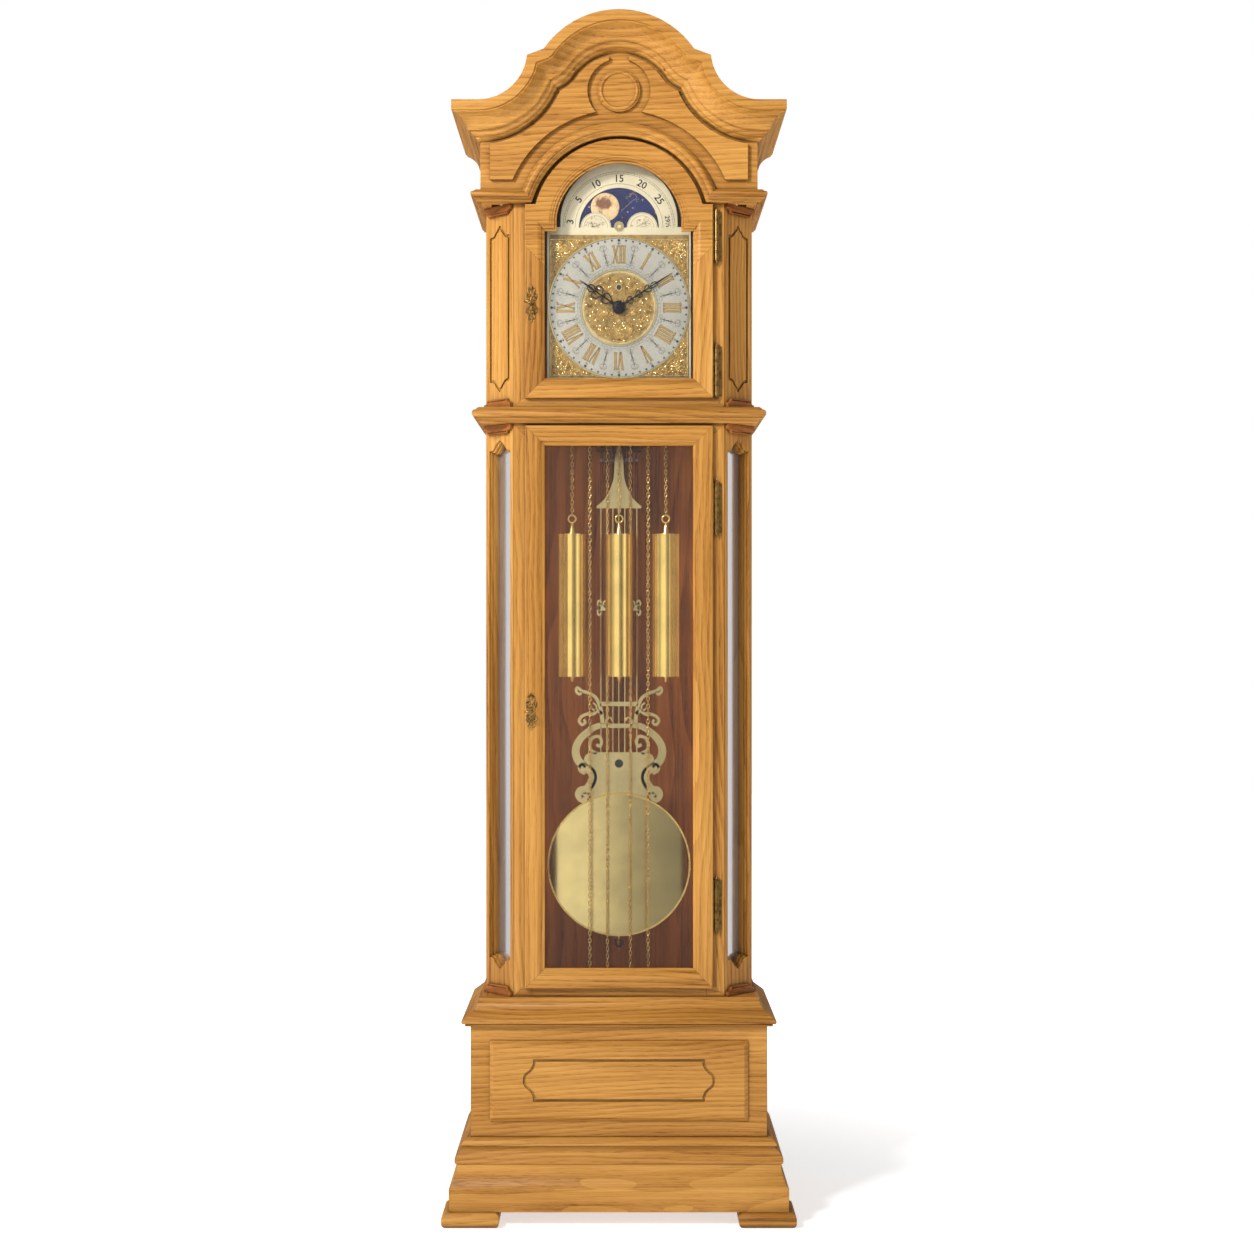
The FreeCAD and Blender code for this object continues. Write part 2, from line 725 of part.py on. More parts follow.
def make_cornice():
    front, half, out = size("frieze_front"), size("frieze_half"), size("cornice_overhang")
    arch_z, arch = size("cornice_arch_centre"), size("cornice_arch")
    section = band_profile()
    section += trace(section[-1][2], [(0, 0), section[0][0]])
    angle = size("cornice_notch_angle")
    reach = arch + size("cornice_notch")
    notch_x = reach * math.cos(math.radians(angle))
    notch_z = arch_z + reach * math.sin(math.radians(angle))

    def swept(x, z, radius, sign, start, turn):
        """The section turned about an axis along Y; sign says whether depth grows outwards."""
        flat = face(section, lambda u, v: V(x + radius + sign * u, -front - v, z))
        flat.rotate(V(x, 0, z), V(0, -1, 0), start)
        return flat.revolve(V(x, 0, z), V(0, -1, 0), turn)

    fall = size("shoulder_fall")
    flare_turn = 90 - fall - angle
    crown = swept(0, arch_z, arch, -1, angle, 180 - 2 * angle)
    flare = swept(notch_x, notch_z, size("cornice_notch"), 1, 180 + angle, flare_turn)
    flat = face(section, lambda u, v: V(notch_x + size("cornice_notch") + u, -front - v, notch_z))
    flat.rotate(V(notch_x, 0, notch_z), V(0, -1, 0), 270 - fall)
    run = V(math.cos(math.radians(fall)), 0, -math.sin(math.radians(fall)))
    shoulder = flat.extrude(run * (size("shoulder_length") + 60))
    sweep_x, sweep_z = sweep_centre()
    sweep = swept(sweep_x, sweep_z, size("cornice_sweep"), 1, 165, 105)
    end = half + out + 1
    flat = face(section, lambda u, v: V(sweep_x, -front - v, size("cornice_flat") - u))
    level = flat.extrude(V(end - sweep_x, 0, 0))
    corner_side = flare.fuse([shoulder, sweep, level])
    whole = crown.fuse([corner_side, mirrored(corner_side)])
    whole = whole.common(below_line(0, end, size("cornice_flat") - 200, -front - out - 1, -front))

    flat_top, band = size("cornice_flat"), size("cornice_band")
    side = [((c[1], flat_top - c[0]), b and (b[1], flat_top - b[0]), (a[1], flat_top - a[0]))
            for a, b, c in reversed(band_profile())]
    block_all = moulded_block(side, half, front)
    limit = [((half + a[0], a[1]), b and (half + b[0], b[1]), (half + c[0], c[1])) for a, b, c in side]
    limit = both_sides(limit + trace(limit[-1][2], [(half + out, flat_top + 300)]))
    whole = whole.common(slab(limit, -front - out - 1, -front))
    returns = []
    for low, high in ((-half - out, -half), (half, half + out)):
        cutter = block(low - 1 if low < 0 else low, high if low < 0 else high + 1, -front,
                       size("back_face"), flat_top - band - 1, flat_top + 1)
        returns += block_all.common(cutter).Solids
    pieces = [whole.removeSplitter().Solids[0]] + returns
    keep("cornice", feature("cornice", Part.makeCompound(pieces)))


def make_pediment():
    front, half = size("frieze_front"), size("frieze_half")
    low, centre = size("hood_top"), size("arch_centre")
    backing = 18
    shape = below_line(20, half, low, -front, -front + backing)
    hole = slab(circle(0, centre, size("arch_inner")), -front - 1, -front + backing + 1)
    keep("pediment_board", feature("pediment_board", shape.cut(hole)))

    thick = 8
    sheet_solid = below_line(size("cornice_band") + 6, 220, 1776, -front - thick, -front)
    sheet_solid = sheet_solid.cut(slab(circle(0, centre, size("panel_arch")), -300, 0))
    keyhole = slab(circle(0, size("roundel_centre"), size("keyhole_radius")), -300, 0)
    gap = size("keyhole_gap")
    sheet_solid = sheet_solid.cut(keyhole).cut(block(-gap, gap, -300, 0, low, 2100))
    halves = sorted(sheet_solid.Solids, key=lambda solid: -solid.Volume)[:2]
    fields = feature("pediment_fields", Part.makeCompound(halves))
    disc = round_bar("roundel_disc", "roundel_radius", 6, "0", "-frieze_front - 6", "roundel_centre", "y")
    bead = ring("roundel_bead", "roundel_radius - 5", 3, "0", "-frieze_front - 6", "roundel_centre")
    roundel = fuse("roundel", [disc, bead])
    keep("pediment_panels", group("pediment_panels", [fields, roundel]))


def make_frieze_case():
    left = board("frieze_left", ("-frieze_half", "-frieze_half + board"),
                 ("-frieze_front + 18", "back_face"), ("hood_top", "roof_bottom"))
    right = board("frieze_right", ("frieze_half - board", "frieze_half"),
                  ("-frieze_front + 18", "back_face"), ("hood_top", "roof_bottom"))
    roof = board("roof", ("-frieze_half", "frieze_half"), ("-frieze_front + 18", "back_face"),
                 ("roof_bottom", "roof_top"))
    keep("hood_top_case", group("hood_top_case", [left, right, roof]))


# ---------------------------------------------------------------- doors

def door_profile():
    """A stile's section: (distance in from the outer edge, Y)."""
    front, lip_back, back = -size("door_front"), -size("door_front") + size("door_lip"), -size("door_back")
    rebate = size("door_half") - size("door_inner_half")
    wide = size("stile")
    glass = 7
    return trace((0, lip_back), [
        (rebate, lip_back), (rebate, back), (wide - glass, back), (wide - glass, lip_back + 0.2),
        (wide, lip_back + 0.2), (wide, front + 7), (wide - 2, front + 5), (wide - 4, front + 4.5),
        (wide - 8, front + 1, wide - 12, front + 0.2), (wide - 12.5, front), (3, front),
        (0.5, front + 1, 0, front + 3.5), (0, lip_back),
    ])


def upright(x_outer, sign, low, high):
    """A door stile whose section runs up from low to high."""
    return face(door_profile(), lambda u, v: V(x_outer - sign * u, v, low)).extrude(V(0, 0, high - low))


def crossbar(z_outer, sign, half):
    return face(door_profile(), lambda u, v: V(-half, v, z_outer - sign * u)).extrude(V(2 * half, 0, 0))


def mitre(points):
    return slab(trace(points[0], list(points[1:]) + [points[0]]), -200, 0)


def lock_hole(height):
    return Part.makeCylinder(2.3, 60, V(-size("lock_offset"), -130, height), V(0, 1, 0))


def make_trunk_door():
    half, wide = size("door_half"), size("stile")
    low, high = size("trunk_door_bottom"), size("trunk_door_top")
    inner = half - wide
    right = upright(half, 1, low, high).common(mitre([(half, low), (half, high), (inner, high - wide),
                                                      (inner, low + wide)]))
    left = mirrored(right).cut(lock_hole(size("trunk_lock")))
    bottom = crossbar(low, -1, half).common(mitre([(-half, low), (half, low), (inner, low + wide),
                                                   (-inner, low + wide)]))
    top = crossbar(high, 1, half).common(mitre([(-half, high), (half, high), (inner, high - wide),
                                                (-inner, high - wide)]))
    keep("trunk_door_frame", feature("trunk_door_frame", Part.makeCompound([left, right, bottom, top])))
    pane = 6.6
    body = board("trunk_pane", ("-door_half + stile - %s" % pane, "door_half - stile + %s" % pane),
                 ("-door_front + door_lip + 0.5", "-door_front + door_lip + 0.5 + glass_thick"),
                 ("trunk_door_bottom + stile - %s" % pane, "trunk_door_top - stile + %s" % pane))
    keep("trunk_door_glass", body)


def arch_outline(grow):
    """The hood door's round-topped opening, whose sides step in at the impost, made larger by grow."""
    inner, impost = size("door_half") - size("stile") + grow, size("impost") + grow
    radius, centre = size("hood_glass_arch") + grow, size("hood_door_centre")
    spring_half = radius - 1
    spring = centre + math.sqrt(radius ** 2 - spring_half ** 2)
    right = trace((inner, impost - 40), [(inner, impost), (spring_half, impost), (spring_half, spring)])
    arch = [((spring_half, spring), (0, centre + radius), (-spring_half, spring))]
    left = flipped(right)
    return right + arch + left + [(left[-1][2], None, right[0][0])]


def make_hood_door():
    half, wide = size("door_half"), size("stile")
    low, high = size("hood_door_bottom"), size("hood_door_top")
    front, back = -size("door_front"), -size("door_back")
    lip_back = front + size("door_lip")
    inner, impost = half - wide, size("impost")
    centre, radius = size("hood_door_centre"), size("hood_door_arch")
    shoulder = mitre([(half, low), (half, high), (inner, impost), (inner, low + wide)])
    right = upright(half, 1, low, high).common(shoulder)
    left = mirrored(right).cut(lock_hole(size("hood_lock")))
    bottom = crossbar(low, -1, half).common(mitre([(-half, low), (half, low), (inner, low + wide),
                                                   (-inner, low + wide)]))
    rebate = half - size("door_inner_half")
    head = slab(rectangle(half, impost, high), front, lip_back)
    head = head.fuse(slab(circle(0, centre, radius), front, lip_back))
    core = slab(rectangle(half - rebate, impost, high - rebate), lip_back, back)
    core = core.fuse(slab(circle(0, centre, radius - rebate), lip_back, back))
    head = head.fuse(core)
    glass_arch = size("hood_glass_arch")
    for grow, depth in ((0, 60), (4, 4.5), (8, 2), (12, 0.8)):
        head = head.cut(slab(arch_outline(grow), front - 1, front + depth))
    pocket = block(-inner - 7, inner + 7, lip_back + 0.2, 0, impost - 20, impost + 4)
    head = head.cut(pocket).cut(slab(circle(0, centre, glass_arch + 7), lip_back + 0.2, 0))
    roof = mitre([(inner, impost), (half, high), (half, high + 300), (-half, high + 300),
                  (-half, high), (-inner, impost)])
    head = head.common(roof).removeSplitter()
    solids = sorted(head.Solids, key=lambda solid: -solid.Volume)
    pieces = [left, right, bottom, solids[0]]
    keep("hood_door_frame", feature("hood_door_frame", Part.makeCompound(pieces)))

    pane, thick = 6.6, size("glass_thick")
    glass_front = lip_back + 0.5
    flat = slab(rectangle(inner + pane, low + wide - pane, impost + 3.5), glass_front, glass_front + thick)
    arch = slab(circle(0, centre, glass_arch + pane), glass_front, glass_front + thick)
    glass = flat.fuse(arch).removeSplitter()
    keep("hood_door_glass", feature("hood_door_glass", glass))


def make_lock(door, height):
    """A pierced escutcheon and its key; the key turns in the plate's hole."""
    z = size(height)
    middle = -size("lock_offset")
    right = trace((0, -31), [(4, -27, 5, -20), (9.5, -12, 9.5, 0), (9.5, 12, 5, 20), (4, 27, 0, 31)])
    moved = lambda pieces: [tuple(point and (middle + point[0], z + point[1]) for point in piece)
                            for piece in pieces]
    outline = moved(right + flipped(right))
    holes = [circle(middle, z, 2.3), circle(middle, z + 14, 1.8), circle(middle, z - 14, 1.8)]
    keep(door + "_escutcheon", plate(door + "_escutcheon", outline, "-door_front - 1.4", "-door_front",
                                     holes))
    front = "-door_front"
    x = "-lock_offset"
    name = door.replace("_door", "_key")
    shank = round_bar(name + "_shank", 2, 23.5, x, front + " - 15", height, "y")
    collar = round_bar(name + "_collar", 3.4, 3, x, front + " - 6", height, "y")
    bow = ring(name + "_bow", 6.5, 1.6, x + " - 4", front + " - 20.5", height, "z")
    keep(name, fuse(name, [shank, collar, bow]))


# ---------------------------------------------------------------- hinges

HINGES = {"trunk": (1174, 494), "hood": (1639, 1408)}


def make_hinges():
    x, y, knuckle = size("hinge_offset"), -size("hinge_front"), size("knuckle")
    pin, long = size("pin"), size("hinge_length") - 2
    face_y = -size("trunk_front")
    fixed, pins, moving = [], [], {"trunk": [], "hood": []}
    share = long / 5
    slack = 0.25
    for door, heights in HINGES.items():
        for low in heights:
            for number in range(5):
                z0, z1 = low + number * share + slack, low + (number + 1) * share - slack
                bore = Part.makeCylinder(pin + (size("pin_clearance") if number % 2 else 0), long,
                                         V(x, y, low))
                barrel = Part.makeCylinder(knuckle, z1 - z0, V(x, y, z0)).cut(bore)
                if number % 2:
                    edge = size("door_half")
                    web = block(edge + 1, x - 2.5, y - 1, y + 1, z0, z1)
                    moving[door].append(barrel.fuse(web.cut(bore)))
                else:
                    web = block(x - 1, x + 1, y + 3, face_y - 1, z0, z1)
                    fixed.append(barrel.fuse(web.cut(bore)))
            leaf = block(x - 3, x + 9, face_y - 1.5, face_y, low, low + long)
            fixed.append(leaf)
            edge = size("door_half")
            moving[door].append(block(edge, edge + 1.5, y - 3.4, face_y - 0.5, low, low + long))
            spindle = Part.makeCylinder(pin, long, V(x, y, low))
            for end, turn in ((low, -1), (low + long, 1)):
                disc = Part.makeCylinder(3.2, 1.5, V(x, y, end), V(0, 0, turn))
                ball = Part.makeSphere(2.4, V(x, y, end + turn * 3))
                tip = Part.makeCone(1.6, 0.4, 4, V(x, y, end + turn * 4.5), V(0, 0, turn))
                spindle = spindle.fuse([disc, ball, tip])
            pins.append(spindle.removeSplitter())
    case_leaves = Part.makeCompound(joined(fixed).Solids + pins)
    keep("case_hinge_leaves", feature("case_hinge_leaves", case_leaves))
    for door, shapes in moving.items():
        name = door + "_door_hinge_leaves"
        keep(name, feature(name, joined(shapes)))


def joined(shapes):
    """Fuses touching shapes and keeps the separate results together."""
    whole = shapes[0].fuse(shapes[1:]).removeSplitter()
    return Part.makeCompound(whole.Solids)


# ---------------------------------------------------------------- dial and hands

def make_dial():
    front, thick = size("dial_front"), size("dial_thick")
    half, top, arch = size("dial_half"), size("dial_top"), size("moon_arch")
    arch_z, moon_z, window = size("moon_arch_centre"), size("moon_centre"), size("moon_window")
    solid = slab(rectangle(half, size("dial_bottom"), top), -front, -front + thick)
    solid = solid.fuse(slab(rectangle(arch, top, arch_z), -front, -front + thick))
    solid = solid.fuse(slab(circle(0, arch_z, arch), -front, -front + thick))
    opening = slab(circle(0, moon_z, window), -front - 1, -front + thick + 1)
    opening = opening.common(block(-window, window, -200, 0, moon_z, moon_z + window))
    for x in (-size("hump_offset"), size("hump_offset")):
        opening = opening.cut(slab(circle(x, moon_z, size("hump")), -200, 0))
    opening = opening.cut(slab(circle(0, moon_z, 8), -200, 0))
    arbor_hole = slab(circle(0, size("dial_centre"), 6), -200, 0)
    solid = solid.cut(opening).cut(arbor_hole).removeSplitter()
    keep("dial_plate", feature("dial_plate", solid))

    centre = size("dial_centre")
    outer = circle(0, centre, size("chapter_outer"))
    inner = circle(0, centre, size("chapter_inner"))
    keep("chapter_ring", plate("chapter_ring", outer, "-dial_front - 1.6", "-dial_front", [inner]))

    relief = slab(circle(0, centre, size("centre_relief")), -front - 1.2, -front).cut(arbor_hole)
    clear = slab(circle(0, centre, size("chapter_outer") + 2), -200, 0)
    corners = []
    margin = 4
    for x_low, x_high in ((-half + margin, 0), (0, half - margin)):
        for z_low, z_high in ((size("dial_bottom") + margin, centre), (centre, top - margin - 10)):
            corner = block(x_low, x_high, -front - 1.6, -front, z_low, z_high).cut(clear)
            corners.append(max(corner.Solids, key=lambda solid: solid.Volume))
    keep("dial_relief", feature("dial_relief", Part.makeCompound([relief] + corners)))

    keep("moon_disc", plate("moon_disc", circle(0, moon_z, size("moon_disc_radius")),
                            "-dial_front + dial_thick + 0.6", "-dial_front + dial_thick + 1.6",
                            [circle(0, moon_z, 2)]))


def hand(length, width, ring_at, hub, bore):
    """A tapered hand that points up from its hub, with an open ring along it."""
    blade = slab(trace((-width, 0), [(width, 0), (1, length * 0.9), (0, length), (-1, length * 0.9),
                                     (-width, 0)]), -1.2, 0)
    eye = slab(circle(0, ring_at, width * 2.6), -1.2, 0)
    hole = slab(circle(0, ring_at, width * 1.7), -2, 1)
    boss = slab(circle(0, 0, hub), -1.2, 0)
    bar = slab(rectangle(0.8, 0, length * 0.8), -1.2, 0)
    shape = blade.fuse([eye]).cut(hole).fuse([bar, boss])
    return shape.cut(slab(circle(0, 0, bore), -3, 3)).removeSplitter()


def make_hands():
    centre = size("dial_centre")
    hour = hand(size("hour_length"), 3.4, 46, 9, 4)
    hour.translate(V(0, -size("dial_front") - 5, 0))
    pipe = Part.makeCylinder(4.2, 19, V(0, -size("dial_front") - 5, 0), V(0, 1, 0))
    hour = hour.fuse(pipe).cut(Part.makeCylinder(3.2, 60, V(0, -100, 0), V(0, 1, 0)))
    minute = hand(size("minute_length"), 3, 58, 9, 2)
    minute.translate(V(0, -size("dial_front") - 8.5, 0))
    arbor = Part.makeCylinder(2.8, 38, V(0, -size("dial_front") - 9, 0), V(0, 1, 0))
    nut = Part.makeCylinder(9, 3, V(0, -size("dial_front") - 12.7, 0), V(0, 1, 0))
    cap = Part.makeCone(3, 8, 3, V(0, -size("dial_front") - 15.7, 0), V(0, 1, 0))
    minute = minute.fuse([arbor, nut, cap])
    for name, shape, turn in (("hour_hand", hour, "hour_angle"), ("minute_hand", minute, "minute_angle")):
        shape.rotate(V(), V(0, 1, 0), size(turn))
        shape.translate(V(0, 0, centre))
        keep(name, feature(name, shape.removeSplitter()))


# ---------------------------------------------------------------- movement

CHAINS = {"strike": -1, "going": 0, "chime": 1}


def sprocket_x(train):
    return -size("going_offset") if train == "going" else CHAINS[train] * size("sprocket_offset")


def chain_lines(train):
    """X of the weight side and of the free side."""
    x = sprocket_x(train)
    if train == "going":
        return x + size("going_drop"), x - size("going_drop")
    side = CHAINS[train]
    return x + side * size("chain_drop"), x - side * size("chain_drop")


def make_movement():
    half, low, high = size("plate_half"), size("plate_bottom"), size("plate_top")
    front, gap, thick = -size("front_plate"), size("plate_gap"), size("plate_thick")
    back = front + gap
    shapes = []
    holes = [Part.makeCylinder(3.4, 200, V(0, -100, size("dial_centre")), V(0, 1, 0))]
    for train in CHAINS:
        holes.append(Part.makeCylinder(1.65, 200, V(sprocket_x(train), -100, size("sprocket_height")),
                                       V(0, 1, 0)))
    holes.append(Part.makeCylinder(1.65, 200, V(0, -100, size("pivot")), V(0, 1, 0)))
    holes.append(Part.makeCylinder(1.65, 200, V(0, -100, size("pivot") + 34), V(0, 1, 0)))
    for y in (front, back):
        shapes.append(block(-half, half, y, y + thick, low, high).cut(Part.makeCompound(holes)))
    foot_top = -size("dial_front") + size("dial_thick")
    for side in (-1, 1):
        for inset, z in ((24, low + 12), (10, high - 12)):
            x = side * (half - inset)
            shapes.append(Part.makeCylinder(4, gap - thick, V(x, front + thick, z), V(0, 1, 0)))
            shapes.append(Part.makeCylinder(3, front - foot_top, V(x, foot_top, z), V(0, 1, 0)))
    for x in (-half + 6, half - 24):
        shapes.append(block(x, x + 18, front + 6, front + 14, low - 7, low))
        shapes.append(block(x, x + 18, front + 6, front + 9, low, low + 12))
    cock_y = back + thick
    reach = size("pendulum_plane") - cock_y
    pivot = size("pivot")
    arm = block(-9, 9, cock_y, cock_y + reach + 4, pivot + 8, pivot + 14)
    foot = block(-14, 14, cock_y, cock_y + 3, pivot + 8, pivot + 46)
    foot = foot.cut(Part.makeCylinder(3, 20, V(0, cock_y - 5, pivot + 34), V(0, 1, 0)))
    chops = block(-4, 4, cock_y + reach - 3, cock_y + reach + 3, pivot, pivot + 8)
    keep("movement_frame", feature("movement_frame", joined(shapes + [arm, foot, chops])))

    board_top = size("plate_bottom") - 7
    table = block(-160, 160, -55, 20, board_top - 18, board_top)
    inner = size("trunk_half") - size("board")
    table = table.fuse(block(-inner, inner, -28, 20, board_top - 18, board_top)).removeSplitter()
    front_y = -size("chain_front")
    for low_x, high_x in ((-92, -41), (-30, 30), (41, 92)):
        table = table.cut(block(low_x, high_x, front_y - 7, front_y + 7, board_top - 20, board_top + 1))
    keep("seat_board", feature("seat_board", table))


def toothed_wheel(radius, teeth, depth, thick):
    """A wheel in the XZ plane about the origin with pointed teeth."""
    points = []
    for number in range(teeth):
        for part, reach in ((0, radius), (0.5, radius - depth)):
            turn = 2 * math.pi * (number + part) / teeth
            points.append((reach * math.cos(turn), reach * math.sin(turn)))
    return slab(trace(points[0], points[1:] + [points[0]]), 0, thick)


def make_sprockets():
    height, y = size("sprocket_height"), -size("chain_front")
    span = size("plate_gap")
    for train in CHAINS:
        drop = size("going_drop") if train == "going" else size("chain_drop")
        core = drop - size("chain_radius") - 0.6
        x = sprocket_x(train)
        pulley = Part.makeCylinder(core, 6, V(0, -3, 0), V(0, 1, 0))
        rims = [Part.makeCylinder(core + 1.2, 1.2, V(0, place, 0), V(0, 1, 0)) for place in (-5.4, 4.2)]
        sides = [Part.makeCylinder(core, 1.2, V(0, place, 0), V(0, 1, 0)) for place in (-4.2, 3)]
        wheel = toothed_wheel(26 if train != "going" else 24, 72, 1.2, 2)
        wheel.translate(V(0, 8, 0))
        hub = Part.makeCylinder(5, 6, V(0, 4, 0), V(0, 1, 0))
        arbor = Part.makeCylinder(1.58, span + 3, V(0, -size("front_plate") - y, 0), V(0, 1, 0))
        shape = pulley.fuse(rims + sides + [wheel, hub, arbor]).removeSplitter()
        shape.translate(V(x, y, height))
        name = train + "_sprocket"
        keep(name, feature(name, shape))


def make_escapement():
    pivot, back = size("pivot"), -size("front_plate") + size("plate_gap")
    front = -size("front_plate")
    wheel = toothed_wheel(17, 30, 3, 1.6)
    wheel.translate(V(0, -6, 0))
    hole = Part.makeCylinder(13, 3, V(0, -7, 0), V(0, 1, 0))
    spokes = [block(-1, 1, -6, -4.4, -13.5, 13.5), block(-13.5, 13.5, -6, -4.4, -1, 1)]
    hub = Part.makeCylinder(3.5, 5, V(0, -8, 0), V(0, 1, 0))
    arbor = Part.makeCylinder(1.58, back + size("plate_thick") - front, V(0, front, 0), V(0, 1, 0))
    shape = wheel.cut(hole).fuse(spokes + [hub, arbor]).removeSplitter()
    shape.translate(V(0, 0, pivot))
    keep("escape_wheel", feature("escape_wheel", shape))

    top = pivot + 34
    arms = trace((-20, 8 - 34), [(-14, -10, 0, 4), (14, -10, 20, 8 - 34), (17.6, 10 - 34),
                                 (12, -12, 0, -3), (-12, -12, -17.6, 10 - 34), (-20, 8 - 34)])
    pallets = slab(arms, -6, -3)
    boss = Part.makeCylinder(4, 8, V(0, -9, 0), V(0, 1, 0))
    plane = size("pendulum_plane")
    arbor = Part.makeCylinder(1.58, plane - 6 - front, V(0, front, 0), V(0, 1, 0))
    crutch = block(-16, -11, plane - 12, plane - 9.5, -70, 3)
    foot = block(-16, 3, plane - 12, plane - 9.5, -2, 3)
    toe = block(-16, -3.5, plane - 12, plane - 9.5, -73, -68)
    fork = block(-6, -3.5, plane - 12, plane + 4, -73, -68)
    shape = pallets.fuse([boss, arbor, crutch, foot, toe, fork])
    shape.translate(V(0, 0, top))
    keep("anchor_and_crutch", feature("anchor_and_crutch", shape))


# ---------------------------------------------------------------- chains and weights

def make_weights():
    radius, low, high = size("weight_radius"), size("weight_bottom"), size("weight_top")
    y = -size("chain_front")
    for train in CHAINS:
        x = chain_lines(train)[0]
        at = V(x, y, 0)
        shell = Part.makeCylinder(radius, high - low, V(0, 0, low))
        lip = 1.4
        caps = [Part.makeCylinder(radius + 0.5, lip, V(0, 0, z)) for z in (low, high - lip)]
        nut = Part.makeCone(2.5, 5.5, 6, V(0, 0, low - 6))
        tip = Part.makeSphere(3, V(0, 0, low - 7.5))
        stem = Part.makeCone(6.5, 2.4, 16, V(0, 0, high))
        neck = Part.makeCylinder(2.4, 4, V(0, 0, high + 15))
        eye = Part.makeTorus(6.5, 1.6, V(0, 0, size("weight_hook_top") - 8.2), V(0, 1, 0))
        shape = shell.fuse(caps + [nut, tip, stem, neck, eye]).removeSplitter()
        shape.translate(at)
        name = train + "_weight"
        keep(name, feature(name, shape))


def going_loop(free_x, top, seat):
    """The going train's slack chain: down behind its weight, round a bend and up to the seat board."""
    thin, front, behind = size("chain_radius"), -size("chain_front"), size("loop_plane")
    other = -free_x
    bend_low = size("free_chain_bottom") + other
    slope_top, slope_low = seat - 2, seat - 85
    pieces = []
    for x, start in ((free_x, top), (other, seat)):
        corners = [V(x, front, start), V(x, front, slope_top),
                   V(x, behind, slope_low), V(x, behind, bend_low)]
        for upper, lower in zip(corners, corners[1:]):
            pieces.append(Part.makeCylinder(thin, (lower - upper).Length, upper, lower - upper))
        pieces += [Part.makeSphere(thin, corner) for corner in corners[1:3]]
    bend = Part.makeTorus(other, thin, V(0, behind, bend_low), V(0, 1, 0))
    pieces.append(bend.common(block(-100, 100, -100, 100, bend_low - 2 * other, bend_low)))
    return pieces[0].fuse(pieces[1:]).removeSplitter()


def make_chains():
    y, top, bottom = -size("chain_front"), size("sprocket_height"), size("free_chain_bottom")
    thin = size("chain_radius")
    hook = size("weight_hook_top") + 0.1
    seat = size("plate_bottom") - 25
    for train in CHAINS:
        weight_x, free_x = chain_lines(train)
        pull = Part.makeCylinder(thin, top - hook, V(weight_x, y, hook))
        keep(train + "_weight_chain", feature(train + "_weight_chain", pull))
        if train == "going":
            shape = going_loop(free_x, top, seat)
        else:
            tail = Part.makeTorus(7, 1.5, V(free_x, y, bottom - 5), V(0, 1, 0))
            shape = Part.makeCylinder(thin, top - bottom, V(free_x, y, bottom)).fuse(tail)
        keep(train + "_free_chain", feature(train + "_free_chain", shape))


# ---------------------------------------------------------------- pendulum

